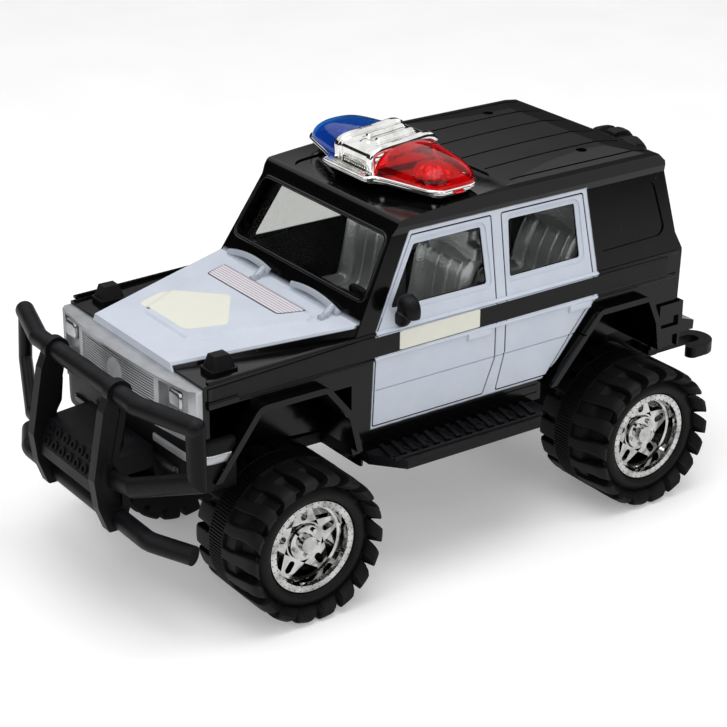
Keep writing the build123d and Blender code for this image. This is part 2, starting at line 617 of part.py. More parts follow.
def make_bull_bar():
    """Front guard: top rail, side loops, two uprights with clamps, tread tray and bottom hoop."""
    with BuildPart() as bull_bar:
        rail_end = (-RAIL_END[0], RAIL_END[1], RAIL_END[2])
        add(tube([rail_end, (-40, RAIL_Y, RAIL_Z), (40, RAIL_Y, RAIL_Z), RAIL_END], None, BAR_R))
        with Locations(rail_end, RAIL_END):
            Sphere(BAR_R)
        for side in (1, -1):
            # side loop of flattened bar: down from the rail's end and in to the upright
            with BuildLine() as loop:
                Polyline((side * 69, -134.3, 99), (side * 70.4, -134.8, 75.8), (side * 41.5, -147.0, 65.2),
                         (side * 26, -147.4, 62.8))
            with BuildSketch(Plane(origin=loop.line @ 0, x_dir=(side * 0.9, 0.44, 0), z_dir=loop.line % 0)):
                Ellipse(BAR_R + 0.2, LOOP_DEPTH / 2)
            sweep(transition=Transition.RIGHT)
            # clamp round the rail at the head of the upright
            with BuildSketch(Plane.YZ.offset(side * UPRIGHT_X - UPRIGHT_T / 2 + 0.5)):
                with Locations((RAIL_Y, RAIL_Z)):
                    Circle(BAR_R + 1.5)
            extrude(amount=UPRIGHT_T - 1.0)
        add(tube([(-67.6, -135.6, 43.8), (-49.6, -144.8, 44.8), (49.6, -144.8, 44.8), (67.6, -135.6, 43.8)],
                 12.0, BAR_R))
        upright = [(-144.0, 101.6), (-147.6, 99.0), (-150.6, 92), (-155.9, 64), (-154.5, 52), (-150.4, 40.6),
                   (-143.5, 40.6), (-140.4, 50), (-140.4, 62), (-145.0, 71), (-139.5, 95)]
        web = [(-146.4, 93.4), (-152.6, 64), (-151.4, 53), (-144.0, 50), (-144.0, 61), (-147.8, 71), (-142.9, 92)]
        for side in (1, -1):
            add(side_prism(upright, 1.2, side * UPRIGHT_X - UPRIGHT_T / 2, UPRIGHT_T))
            x_pocket = UPRIGHT_X + UPRIGHT_T / 2 - 1.4 if side > 0 else -UPRIGHT_X - UPRIGHT_T / 2
            add(side_prism(web, 0.8, x_pocket, 1.4), mode=Mode.SUBTRACT)
        tray = [(-153.4, 55.6), (-153.0, 60.0), (-148.6, 69.8), (-137.6, 70.8), (-131, 71.4), (-128, 71.4),
                (-128, 64), (-131, 62), (-144.5, 62), (-149, 55.6)]
        add(side_prism(tray, 0, -UPRIGHT_X, 2 * UPRIGHT_X))
        # two rows of ring bosses on the tray's steep front
        slope = Plane(origin=(0, -150.8, 64.9), x_dir=(1, 0, 0), z_dir=(0, -9.8, 4.4))
        with BuildSketch(slope):
            with GridLocations(6.2, 5.4, 7, 2):
                Circle(2.1)
                Circle(1.2, mode=Mode.SUBTRACT)
        extrude(amount=0.6)
    bull_bar.part.label = "bull_bar"
    export_step(bull_bar.part, "parts/bull_bar.step")


def make_side_parts():
    """The left mirror, the running boards and the wipers."""
    with BuildPart() as left_mirror:
        with BuildSketch(Plane.XZ.offset(38.0)) as head:
            with Locations((61.6, 120.6)):
                Rectangle(11.4, 12.2)
            fillet(head.vertices(), 3.0)
        extrude(amount=-6.0, taper=8)
        with BuildSketch(Plane.XZ.offset(36.4)):
            with BuildLine():
                Polyline((52.2, 110.0), (57.5, 111.5), (61, 116.5), (57, 117), (51.6, 114.6), close=True)
            make_face()
        extrude(amount=-3.6)
        add(body_envelope(0), mode=Mode.SUBTRACT)
    left_mirror.part.label = "left_mirror"
    export_step(left_mirror.part, "parts/left_mirror.step")

    for name, side in (("left", 1), ("right", -1)):
        with BuildPart() as running_board:
            with BuildSketch(Plane.XY.offset(52.6)):
                with BuildLine():
                    Polyline((side * 46, -46), (side * 56, -46), (side * 68.5, -35.5), (side * 68.5, 34),
                             (side * 60, 42), (side * 46, 42), close=True)
                make_face()
            extrude(amount=SILL_Z - 52.6)
            chamfer(running_board.edges().filter_by(lambda e: abs(e.center().X) > 65 and e.center().Z > 56), 1.0)
            with BuildSketch(Plane.XY.offset(SILL_Z - 0.2)):
                with Locations(*[(side * 60.8, -30 + 5.8 * i) for i in range(11)]):
                    SlotOverall(12.5, 1.7, rotation=side * 28)
            extrude(amount=0.8, taper=20)
        running_board.part.label = f"{name}_running_board"
        export_step(running_board.part, f"parts/{name}_running_board.step")

    with BuildPart() as wipers:
        for x_pivot, x_from, x_to in ((-15.9, -38.0, -6.0), (39.0, 9.0, 46.5)):
            with BuildSketch(Plane.XY.offset(HOOD_REAR[1] - 0.2)):
                with Locations((x_pivot, -53.0)):
                    Rectangle(5, 4)
            extrude(amount=2.4)
            add(tube([(x_pivot, -53.0, 114.4), (x_pivot - 3, -49.4, 119.6)], None, 1.1))
            # blade, bowed, its high end beyond the pivot
            with BuildLine() as blade:
                ThreePointArc((x_from, -51.3, 116.2), (x_pivot - 6, -49.4, 119.6), (x_to, -48.6, 120.6))
            with BuildSketch(Plane(origin=blade.line @ 0, z_dir=blade.line % 0)):
                Circle(1.0)
            sweep()
    wipers.part.label = "wipers"
    export_step(wipers.part, "parts/wipers.step")


def lens_dome(shrink):
    """Lens form on the +X side; shrink gives the hollow inside."""
    sections = ((COVER_HALF + 0.2, 3.2, 16.6, 8.9), (27, 3.4, 14.8, 9.2), (38, 3.9, 12.5, 8.0),
                (45.3 - shrink, 4.4, 9.8, 4.0))
    with BuildPart() as dome:
        for x, y_mid, half, height in sections:
            with BuildSketch(Plane.YZ.offset(x)):
                with Locations((y_mid, LENS_FLOOR_Z - shrink / 2)):
                    Ellipse(half - shrink, height - shrink / 2)
                    with Locations((0, -20)):
                        Rectangle(60, 40, mode=Mode.SUBTRACT)
        loft()
    return dome.part


def make_light_bar():
    """Chromed base and middle cover, two clear lenses with star reflectors inside."""
    outline_right = [(13.2, -18.6), (16.2, -17.6), (16.4, -15.0), (43.8, -8.2), (46.6, -4.6), (44.4, 13.6),
                     (41.4, 16.8), (16.4, 21.2), (16.2, 22.4), (13.2, 23.4)]
    outline = outline_right + [(-x, y) for x, y in reversed(outline_right)]
    with BuildPart() as light_bar_base:
        with BuildSketch(Plane.XY.offset(148)) as foot:
            with BuildLine():
                Polyline(*outline, close=True)
            make_face()
            offset(amount=-2.6, kind=Kind.INTERSECTION)
        extrude(amount=9.6)
        with BuildSketch(Plane.XY.offset(157.4)) as lip:
            with BuildLine():
                Polyline(*outline, close=True)
            make_face()
            fillet(lip.vertices(), 0.8)
        extrude(amount=LENS_FLOOR_Z - 157.4)
        # slit grille on the front tongue
        with BuildSketch(Plane.XY.offset(LENS_FLOOR_Z - 0.5)):
            with GridLocations(1.35, 1, 16, 1):
                with Locations((0, -16.8)):
                    Rectangle(0.65, 1.9)
        extrude(amount=2, mode=Mode.SUBTRACT)
        add(body_envelope(0), mode=Mode.SUBTRACT)
    light_bar_base.part.label = "light_bar_base"
    export_step(light_bar_base.part, "parts/light_bar_base.step")

    outer_arch = [(-14.8, LENS_FLOOR_Z), (-14.6, 164.0), (-12.2, 166.6), (-7.4, 168.2), (3, 169.9),
                  (13.5, 170.8), (17.0, 169.7), (19.4, 166.6), (20.4, LENS_FLOOR_Z)]
    inner_arch = [(-13.6, LENS_FLOOR_Z), (-13.4, 163.4), (-7, 166.6), (13, 168.6), (18.2, 165.8),
                  (19.2, LENS_FLOOR_Z)]
    panel = [(-20, 175), (-20, 163.4), (-13.8, 163.4), (-11.6, 165.7), (-7.2, 167.2), (3, 168.9), (13.4, 169.8),
             (16.4, 168.8), (18.4, 166.0), (30, 166.0), (30, 175)]
    with BuildPart() as light_bar_cover:
        add(side_prism(outer_arch, 0, -COVER_HALF, 2 * COVER_HALF))
        # sunk middle panel between two broad rims, with two long bars standing in it
        add(side_prism(panel, 0, -COVER_PANEL, 2 * COVER_PANEL), mode=Mode.SUBTRACT)
        add(side_prism(inner_arch, 0, -COVER_HALF + 1.2, 2 * COVER_HALF - 2.4), mode=Mode.SUBTRACT)
        for x_bar in (-3.4, 1.2):
            add(side_prism([(-6, 166.4), (-6, 168.6), (3, 170.1), (12.5, 171.0), (13.8, 169.2)], 0, x_bar, 2.4))
    light_bar_cover.part.label = "light_bar_cover"
    export_step(light_bar_cover.part, "parts/light_bar_cover.step")

    for name, side in (("blue", -1), ("red", 1)):
        with BuildPart() as lens:
            add(lens_dome(0.0))
            add(lens_dome(LENS_T), mode=Mode.SUBTRACT)
            if side < 0:
                mirror(about=Plane.YZ, mode=Mode.REPLACE)
        lens.part.label = f"{name}_lens"
        export_step(lens.part, f"parts/{name}_lens.step")

        with BuildPart() as reflector:
            with BuildSketch(Plane.XY.offset(LENS_FLOOR_Z)):
                with Locations((side * 28.5, 4.5)):
                    RegularPolygon(7.4, 3)
                    RegularPolygon(7.4, 3, rotation=60)
            extrude(amount=2.6, taper=8)
        reflector.part.label = f"{name}_reflector"
        export_step(reflector.part, f"parts/{name}_reflector.step")


def make_rear():
    """Bumper, two tow hooks, tail lamps and the spare wheel on its carrier."""
    with BuildPart() as rear_bumper:
        step = [(TAIL_Y, 63.5), (124.3, 63.5), (125, 69.4), (132.8, 69.4), (133, 73.6), (125.7, 76),
                (125.7, 84.7), (TAIL_Y, 85.2)]
        add(side_prism(step, 0, -54.5, 109))
        for x_from in (BODY_HALF, -54.5):
            add(side_prism([(112, 69.4), (112, 73.6), (TAIL_Y + 1, 73.6), (TAIL_Y + 1, 69.4)], 0, x_from, 1.5))
            add(side_prism([(112, 78.5), (112, 84.7), (TAIL_Y + 1, 84.7), (TAIL_Y + 1, 78.5)], 0, x_from, 1.5))
        add(side_prism([(122, 60), (122, 90), (140, 90), (140, 60)], 0, -26, 52), mode=Mode.SUBTRACT)
        add(side_prism([(TAIL_Y, 63.5), (124.3, 63.5), (125, 69.4), (125.7, 76), (125.7, 84.7), (TAIL_Y, 85.2)],
                       0, -26.5, 53))
    rear_bumper.part.label = "rear_bumper"
    export_step(rear_bumper.part, "parts/rear_bumper.step")

    with BuildPart() as tow_hooks:
        with BuildSketch(Plane.XY.offset(HOOK_Z)):
            for side in (1, -1):
                with BuildLine():
                    Line((side * 33.5, 126), (side * 33.5, 147))
                    ThreePointArc((side * 33.5, 147), (side * 40.3, 152.89), (side * 47, 147))
                    Line((side * 47, 147), (side * 47, 140.5))
                    offset(amount=3.0, side=Side.BOTH)
                make_face()
            with Locations((0, 126)):
                Rectangle(74, 5)
        extrude(amount=HOOK_T)
    tow_hooks.part.label = "tow_hooks"
    export_step(tow_hooks.part, "parts/tow_hooks.step")

    for name, side in (("left", 1), ("right", -1)):
        with BuildPart() as tail_lamp:
            with BuildSketch(Plane.XZ.offset(-TAIL_Y)) as lens:
                with Locations((side * 46, 92)):
                    Rectangle(8, 9)
                fillet(lens.vertices(), 1)
            extrude(amount=-2.0)
            add(body_envelope(0), mode=Mode.SUBTRACT)
        tail_lamp.part.label = f"{name}_tail_lamp"
        export_step(tail_lamp.part, f"parts/{name}_tail_lamp.step")

    spin = Axis((0, 0, SPARE_Z), (0, 1, 0))
    front_y = SPARE_REAR_Y - SPARE_WIDTH
    section = Plane(origin=(0, 0, SPARE_Z), x_dir=(0, 1, 0), z_dir=(1, 0, 0))
    with BuildPart() as spare_tyre:
        with BuildSketch(section):
            with BuildLine():
                Polyline((SPARE_REAR_Y - 2.0, BEAD_R), (SPARE_REAR_Y - 2.0, 20.1), (SPARE_REAR_Y, 22.4),
                         (SPARE_REAR_Y - 0.6, 25.4), (SPARE_REAR_Y - 4.4, SPARE_R))
                ThreePointArc((SPARE_REAR_Y - 4.4, SPARE_R), (front_y + 6, SPARE_R + 0.3), (front_y + 1, SPARE_R - 1))
                Polyline((front_y + 1, SPARE_R - 1), (front_y, 26.6), (front_y, BEAD_R),
                         (SPARE_REAR_Y - 2.0, BEAD_R))
            make_face()
        revolve(axis=spin)
    spare_tyre.part.label = "spare_tyre"
    export_step(spare_tyre.part, "parts/spare_tyre.step")

    with BuildPart() as spare_rim:
        with BuildSketch(section):
            with BuildLine():
                Polyline((front_y, 0), (front_y, BEAD_R), (SPARE_REAR_Y - 2.0, BEAD_R),
                         (SPARE_REAR_Y - 2.0, RIM_R), (SPARE_REAR_Y - 0.8, RIM_R - 0.4),
                         (SPARE_REAR_Y - 0.8, 17), (SPARE_REAR_Y - 6, 15.2), (SPARE_REAR_Y - 6, HUB_R),
                         (SPARE_REAR_Y - 4, HUB_R - 1), (SPARE_REAR_Y - 4, 3.9), (SPARE_REAR_Y - 2, 3.4),
                         (SPARE_REAR_Y - 2, 0), close=True)
            make_face()
        revolve(axis=spin)
        with BuildSketch(Plane.XZ.offset(-front_y - 1)):
            with Locations((0, SPARE_Z)):
                Circle(9)
        extrude(amount=12)
        add(body_envelope(0), mode=Mode.SUBTRACT)
    spare_rim.part.label = "spare_rim"
    export_step(spare_rim.part, "parts/spare_rim.step")


make_body_shell()
make_glazing()
make_interior()
make_chassis()
make_wheels()
make_front()
make_bull_bar()
make_side_parts()
make_light_bar()
make_rear()
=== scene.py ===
"""Looks of a toy police off-road car, built round its packed frame, and laid out as an add-on.

The car faces -Y, its left side is +X, and +Z is up. Shapes and named sizes are in millimetres. Materials, lamps
and camera work in metres, apart from arguments that end in _mm and what is multiplied by MM.
"""

import math
from functools import partial

import bpy
import numpy as np
from bpy.props import FloatProperty, FloatVectorProperty, IntProperty, PointerProperty
from mathutils import Matrix, Vector


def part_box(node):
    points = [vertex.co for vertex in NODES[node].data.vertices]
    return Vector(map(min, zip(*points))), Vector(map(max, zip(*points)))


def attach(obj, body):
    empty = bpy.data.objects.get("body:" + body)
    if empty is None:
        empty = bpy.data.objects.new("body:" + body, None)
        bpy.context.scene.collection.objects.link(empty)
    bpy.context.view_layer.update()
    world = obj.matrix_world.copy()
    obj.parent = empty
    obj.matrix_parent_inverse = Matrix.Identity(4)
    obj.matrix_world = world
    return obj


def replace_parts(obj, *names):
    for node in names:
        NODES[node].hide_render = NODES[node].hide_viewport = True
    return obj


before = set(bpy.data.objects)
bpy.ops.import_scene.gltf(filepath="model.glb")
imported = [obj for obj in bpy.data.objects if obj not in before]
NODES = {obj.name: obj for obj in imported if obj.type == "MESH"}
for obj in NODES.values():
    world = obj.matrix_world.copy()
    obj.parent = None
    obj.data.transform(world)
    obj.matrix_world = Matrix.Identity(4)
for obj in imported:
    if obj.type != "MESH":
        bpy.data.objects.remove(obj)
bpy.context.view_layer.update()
MM = 0.001

bl_info = {
    "name": "Toy police off-road car",
    "version": (1, 0, 0),
    "blender": (4, 5, 0),
    "location": "View3D > Sidebar > Toy Car",
    "description": "Paint, tyres, stickers, chrome and glass of a toy police off-road car",
    "category": "Object",
}

WHEELS = ("front_left", "front_right", "rear_left", "rear_right")
SIDES = ((1, "left"), (-1, "right"))
# the side wall: how far out it stands, the height of the belt, and how it leans in above that
WALL_X, BELT_Z, WALL_LEAN = 53.0, 108.0, 0.1576
# the hood's front edge as (y, z), its slope, and how far its middle panel is raised
HOOD_FRONT = (-122.0, 107.1)
HOOD_RISE = 5.8 / 73.5
HOOD_RAISED = 0.9
# half the hood's painted width, and where its paint fades on the cowl
HOOD_HALF, COWL_Y = 51.25, -47.7
# the roof's face, and where the light bar's rear edge stands on it
ROOF_Z, BAR_REAR_Y = 153.5, 29.5
# outline of the raised panel, as (x, y)
HOOD_PANEL = ((-16.6, -107.0), (16.6, -107.0), (27.2, -83.5), (36.5, -62.0), (34.0, -57.2), (-34.0, -57.2),
              (-36.5, -62.0), (-27.2, -83.5))


# ---------------------------------------------------------------- helpers

def linear(code):
    """An sRGB hex colour as linear RGBA."""
    srgb = np.array([int(code[i:i + 2], 16) for i in (1, 3, 5)]) / 255
    low, high = srgb / 12.92, ((srgb + 0.055) / 1.055) ** 2.4
    return (*np.where(srgb <= 0.04045, low, high).tolist(), 1.0)


def add(tree, kind, *values, out=0, **named):
    """Adds one node and gives the output named by out.

    values go to its inputs in order; named ones go to its own settings or else to its inputs of that name. A
    socket is linked, and anything else is set.
    """
    node = tree.nodes.new("ShaderNode" + kind)
    for key in [key for key in named if hasattr(node, key)]:
        setattr(node, key, named.pop(key))
    inputs = {**dict(enumerate(values)), **{key.replace("_", " "): value for key, value in named.items()}}
    for key, value in inputs.items():
        if isinstance(value, bpy.types.NodeSocket):
            tree.links.new(value, node.inputs[key])
        else:
            node.inputs[key].default_value = value
    return node.outputs[out] if node.outputs else None


# settings that many nodes share: what a Math node does, a Map Range from 0 to 1 with soft ends, a Mix of colours,
# and a Noise of middling detail
PLUS, MINUS, TIMES, OVER, LARGER, SMALLER, UNSIGNED, TIMES_PLUS = (
    {"operation": kind} for kind in ("ADD", "SUBTRACT", "MULTIPLY", "DIVIDE", "MAXIMUM", "MINIMUM", "ABSOLUTE",
                                     "MULTIPLY_ADD"))
SOFT = {"interpolation_type": "SMOOTHSTEP"}
COLOURS = {"data_type": "RGBA", "out": "Result"}
GRAIN = {"Detail": 3.0, "Roughness": 0.55}


def repeats(size_mm):
    """The scale of a texture whose cells or lumps are about size_mm across."""
    return 1000.0 / size_mm


def begin(name):
    """A new material without nodes: itself, add() bound to its tree, and Object coordinates in metres."""
    new = bpy.data.materials.new(name)
    new.use_nodes = True
    new.node_tree.nodes.clear()
    node = partial(add, new.node_tree)
    return new, node, node("TexCoord", out="Object")


def finish(new, node, **sockets):
    """Ends a material in one Principled shader."""
    node("OutputMaterial", node("BsdfPrincipled", **sockets))
    return new


def finish_clear(new, node, colour, **sockets):
    """Ends a clear material, which is a plain coloured filter in its own shadow, so that the shadow is tinted."""
    clear = node("BsdfPrincipled", Base_Color=colour, **sockets)
    node("OutputMaterial", node("MixShader", node("LightPath", out="Is Shadow Ray"), clear,
                                node("BsdfTransparent", colour)))
    return new


def patches(node, coords, size_mm, first, second, low=0.3, high=0.7):
    """Soft patches about size_mm across: their noise, and a blend of two colours over its range low to high."""
    patch = node("TexNoise", coords, Scale=repeats(size_mm), **GRAIN)
    return patch, node("Mix", Factor=node("MapRange", patch, low, high), A=first, B=second, **COLOURS)


def tooth(node, coords, size_mm, depth_mm, detail=3.0, **under):
    """A surface tooth about size_mm across and depth_mm deep, as a normal, over a Normal if one is given."""
    height = node("TexNoise", coords, Scale=repeats(size_mm), Detail=detail, Roughness=0.55)
    return node("Bump", Height=height, Strength=1.0, Distance=depth_mm * MM, **under)


def seen_rays(node):
    """1 for rays from the eye, straight or by a mirror or a clear sheet, and 0 for those that only light."""
    path = node("LightPath").node.outputs
    straight_or_clear = node("Math", path["Is Camera Ray"], path["Is Transmission Ray"], **LARGER)
    return node("Math", straight_or_clear, path["Is Glossy Ray"], **LARGER)


def soft_polygon(node, coords, corners):
    """Distance inside a convex polygon of (y, z) corners, in metres: the least of the distances to its sides."""
    corners = np.array(corners) * MM
    middle = corners.mean(0)
    inside = None
    for start, end in zip(corners, np.roll(corners, -1, 0)):
        side = (end - start) / np.linalg.norm(end - start)
        normal = np.array((-side[1], side[0]))
        if normal @ (middle - start) < 0:
            normal = -normal
        along = node("VectorMath", coords, (0.0, *normal), operation="DOT_PRODUCT", out="Value")
        distance = node("Math", along, float(normal @ start), **MINUS)
        inside = distance if inside is None else node("Math", inside, distance, **SMALLER)
    return inside


def quads(rows, cols, close_rows=False, close_cols=False):
    """Faces between neighbouring points of a grid kept row by row, wrapping where it closes."""
    i, j = np.meshgrid(np.arange(rows - (not close_rows)), np.arange(cols - (not close_cols)), indexing="ij")
    below, right = (i + 1) % rows, (j + 1) % cols
    return np.stack([i * cols + j, below * cols + j, below * cols + right, i * cols + right], -1).reshape(-1, 4)


def loft(grid):
    """Points and faces of a grid of closed sections."""
    return grid.reshape(-1, 3), quads(*grid.shape[:2], close_cols=True)


def turned_outward(points, faces):
    """Faces, flipped if the volume under them is negative: each is a fan of triangles from its first corner."""
    first, *others = (points[faces[:, corner]] for corner in range(faces.shape[1]))
    signed = sum((first * np.cross(second, third)).sum() for second, third in zip(others, others[1:]))
    return faces[:, ::-1] if signed < 0 else faces


def joined(*parts):
    """Several closed shapes as one set of points and faces, each turned outward."""
    starts = np.cumsum([0] + [len(points) for points, faces in parts])
    return (np.vstack([points for points, faces in parts]),
            np.vstack([turned_outward(points, faces) + start for (points, faces), start in zip(parts, starts)]))


def placed(name, points, faces, surface):
    """A mesh object at the origin, from points in millimetres."""
    mesh = bpy.data.meshes.new(name)
    mesh.from_pydata((points * MM).tolist(), [], faces.tolist())
    mesh.update()
    mesh.materials.append(surface)
    made = bpy.data.objects.new(name, mesh)
    bpy.context.scene.collection.objects.link(made)
    return made


def piece(name, shape, surface, sharp=35.0, body="root"):
    """A piece of the car from points and faces, turned outward, smooth but for edges over sharp degrees."""
    points, faces = np.asarray(shape[0], float).reshape(-1, 3), shape[1]
    made = placed(name, points, turned_outward(points, faces), surface)
    made.data.polygons.foreach_set("use_smooth", np.ones(len(made.data.polygons), bool))
    made.data.set_sharp_from_angle(angle=math.radians(sharp))
    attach(made, body)
    return made


def dress(surface, *names):
    """Puts a material on CAD nodes."""
    for name in names:
        slots = NODES[name].material_slots
        for slot in slots:
            slot.link = "OBJECT"
            slot.material = surface
        if not len(slots):
            NODES[name].data.materials.append(surface)


def wheel_place(wheel):
    """Which side a wheel is on, the middle of its axle as (0, y, z), and its body."""
    low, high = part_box(f"{wheel}_tyre")
    middle = np.array((low + high) / 2) / MM
    body = "front_wheels" if wheel.startswith("front") else "rear_wheels"
    return (1 if middle[0] > 0 else -1), (0, middle[1], middle[2]), body


# ---------------------------------------------------------------- materials

# edges of the sprayed door panels and of the sunk window surrounds, as (y, z)
DOOR_PAINT = ((-43.1, 66.4), (-41.2, 108.0), (-20.7, 145.6), (71.4, 145.6), (75.0, 108.0), (75.2, 97.6),
              (49.2, 66.4))
WINDOW_SURROUNDS = (((-38.5, 113.2), (-20.3, 142.6), (17.3, 142.6), (19.0, 113.2)),
                    ((26.0, 113.4), (26.8, 142.9), (67.4, 142.9), (69.3, 113.8)))


def sprayed_abs(paint, shell, overspray):
    """Glossy black ABS, moulded in a polished tool, with doors and hood sprayed bluish white through masks.

    The eye gets a wet black shine with fine dust, a paler satin paint with soft edges, and black left in the
    seams.
    """
    new, node, coords = begin("sprayed_gloss_abs")
    x_axis, y_axis, z_axis = node("SeparateXYZ", coords).node.outputs
    x_side = node("Math", x_axis, **UNSIGNED)
    edge = overspray * MM
    wander = node("Math", node("TexNoise", coords, Scale=repeats(5.0), **GRAIN), 0.5, **MINUS)
    wander = node("Math", wander, edge, **TIMES)

    # paint stays off anything deeper than the wall's skin, but reaches 0.7 mm deeper in the window surrounds
    over_belt = node("Math", node("Math", z_axis, BELT_Z * MM, **MINUS), 0.0, **LARGER)
    wall = node("Math", WALL_X * MM, node("Math", over_belt, WALL_LEAN, **TIMES), **MINUS)
    depth = node("Math", wall, x_side, **MINUS)
    surrounds = node("Math", *(soft_polygon(node, coords, corners) for corners in WINDOW_SURROUNDS), **LARGER)
    allowed = node("Math", node("MapRange", surrounds, -0.0002, 0.0002, **SOFT), 0.0007, **TIMES)
    skin = node("MapRange", node("Math", allowed, depth, **MINUS), -0.0006, -0.00035, **SOFT)
    doors = node("Math", soft_polygon(node, coords, DOOR_PAINT), wander, **PLUS)
    doors = node("Math", node("MapRange", doors, -edge, edge, **SOFT), skin, **TIMES)

    # the hood is painted down to its edge, over its nose, and fades out on the cowl
    rise = node("Math", node("Math", y_axis, -HOOD_FRONT[0] * MM, **PLUS), HOOD_RISE, **TIMES)
    above = node("Math", node("Math", z_axis, HOOD_FRONT[1] * MM, **MINUS), rise, **MINUS)
    nose = node("Math", node("MapRange", y_axis, (HOOD_FRONT[0] + 0.8) * MM, (HOOD_FRONT[0] + 0.4) * MM, **SOFT),
                node("MapRange", above, -0.0036, -0.0033, **SOFT), **TIMES)
    hood = node("Math", node("MapRange", above, -0.0014, -0.0009, **SOFT), nose, **LARGER)
    fade = node("Math", node("Math", node("Math", above, 0.6, **TIMES), y_axis, **PLUS), wander, **PLUS)
    fade = node("MapRange", fade, (COWL_Y + 1.5) * MM, (COWL_Y - 1.5) * MM, **SOFT)
    width = node("MapRange", x_side, (HOOD_HALF + 0.25) * MM, (HOOD_HALF - 0.25) * MM, **SOFT)
    hood = node("Math", node("Math", hood, fade, **TIMES), width, **TIMES)
    mask = node("Math", doors, hood, use_clamp=True, **LARGER)

    # one dust cell in about twenty holds a speck
    dust = node("TexVoronoi", coords, Scale=repeats(2.381)).node.outputs
    rare = node("MapRange", node("SeparateColor", dust["Color"]), 0.93, 0.96, **SOFT)
    specks = node("Math", node("MapRange", dust["Distance"], 0.12, 0.05, **SOFT), rare, **TIMES)
    cloud = node("TexNoise", coords, Scale=repeats(18.0), **GRAIN)
    black = node("Mix", Factor=node("Math", specks, 0.35, **TIMES), A=shell, B=linear("#8A8A86"), **COLOURS)
    white = node("Mix", Factor=node("MapRange", cloud, 0.3, 0.7, **SOFT), A=linear("#C2C9D5"), B=paint, **COLOURS)

    # the roof behind the light bar is handled most, so its gloss is dulled; the paint is satin all over
    polished = node("Math", cloud, 0.07, 0.12, **TIMES_PLUS)
    behind = node("MapRange", y_axis, (BAR_REAR_Y - 4.5) * MM, (BAR_REAR_Y + 4.5) * MM, **SOFT)
    rubbed = node("Math", behind, 0.28, 0.05, **TIMES_PLUS)
    roof = node("MapRange", z_axis, (ROOF_Z - 1.0) * MM, (ROOF_Z + 1.0) * MM, **SOFT)
    gloss = node("Mix", Factor=roof, A=polished, B=rubbed)
    ripple = node("Bump", Height=cloud, Strength=1.0, Distance=0.02 * MM)
    peel = node("Math", node("TexNoise", coords, Scale=repeats(0.8), **GRAIN), mask, **TIMES)
    return finish(new, node, IOR=1.53, Specular_IOR_Level=0.2,
                  Base_Color=node("Mix", Factor=mask, A=black, B=white, **COLOURS),
                  Roughness=node("Mix", Factor=mask, A=gloss, B=0.36),
                  Normal=node("Bump", Height=peel, Strength=1.0, Distance=0.015 * MM, Normal=ripple))


def textured_polypropylene(colour):
    """Matt black polypropylene from a spark-eroded mould: a dry fine grain, and a painted brown-grey highlight in
    patches on faces that look up.
    """
    new, node, coords = begin("textured_polypropylene")
    # painted highlight: faces that look up are lightened to brown-grey in patches, standing in for light from
    # above
    up = node("SeparateXYZ", node("NewGeometry", out="Normal"), out=2)
    patchy = node("TexNoise", coords, Scale=repeats(9.0), **GRAIN)
    painted_top_highlight = node("Math", node("MapRange", up, 0.35, 0.95, **SOFT),
               node("MapRange", patchy, 0.35, 0.7, **SOFT), **TIMES)
    highlighted_black = node("Mix", Factor=node("Math", painted_top_highlight, 0.45, **TIMES), A=colour, B=linear("#26262A"), **COLOURS)
    # the eroded grain is about 0.1 mm; it is drawn at 0.45 mm so that it shows
    return finish(new, node, IOR=1.49, Specular_IOR_Level=0.14, Base_Color=highlighted_black,
                  Roughness=node("Math", patchy, 0.16, 0.36, **TIMES_PLUS),
                  Normal=tooth(node, coords, 0.45, 0.025))


def clear_polystyrene(name, colour, **sockets):
    """Clear polystyrene pressed in a polished tool: bright, faintly grey, with a slight ripple from moulding."""
    new, node, coords = begin(name)
    return finish_clear(new, node, colour, Normal=tooth(node, coords, 12.0, 0.03, 1.0), **sockets)


def pearl_abs(colour):
    """Pearl-grey ABS with aluminium flake in the melt: soft metallic light, and leather grain from the mould."""
    new, node, coords = begin("pearl_flake_abs")
    streak, tone = patches(node, coords, 14.0, linear("#B4B7BA"), colour, 0.25, 0.75)
    # leather cells about 1.1 mm across, drawn at 1.6 mm so that they show
    cells = node("TexVoronoi", coords, Scale=repeats(1.5625), feature="DISTANCE_TO_EDGE", out="Distance")
    return finish(new, node, Metallic=0.7, IOR=1.53, Base_Color=tone,
                  Roughness=node("Math", streak, 0.08, 0.3, **TIMES_PLUS),
                  Normal=node("Bump", Height=node("MapRange", cells, 0.0, 0.3, **SOFT), Strength=1.0,
                              Distance=0.07 * MM))


# the grille: y of its middle, how much it bows per square metre, half its width and its lower and upper edges
GRILLE_Y, GRILLE_BOW, GRILLE_HALF, GRILLE_FOOT, GRILLE_TOP = -130.0, 1.49, 29.0, 87.9, 102.1
# height of its first slot, pitch of the slots, and height and radius of the plain disc
SLOT_Z, SLOT_PITCH, DISC_Z, DISC_R = 88.30, 1.12, 94.2, 6.1
# top of the cross member under it
MEMBER_Z = 70.0


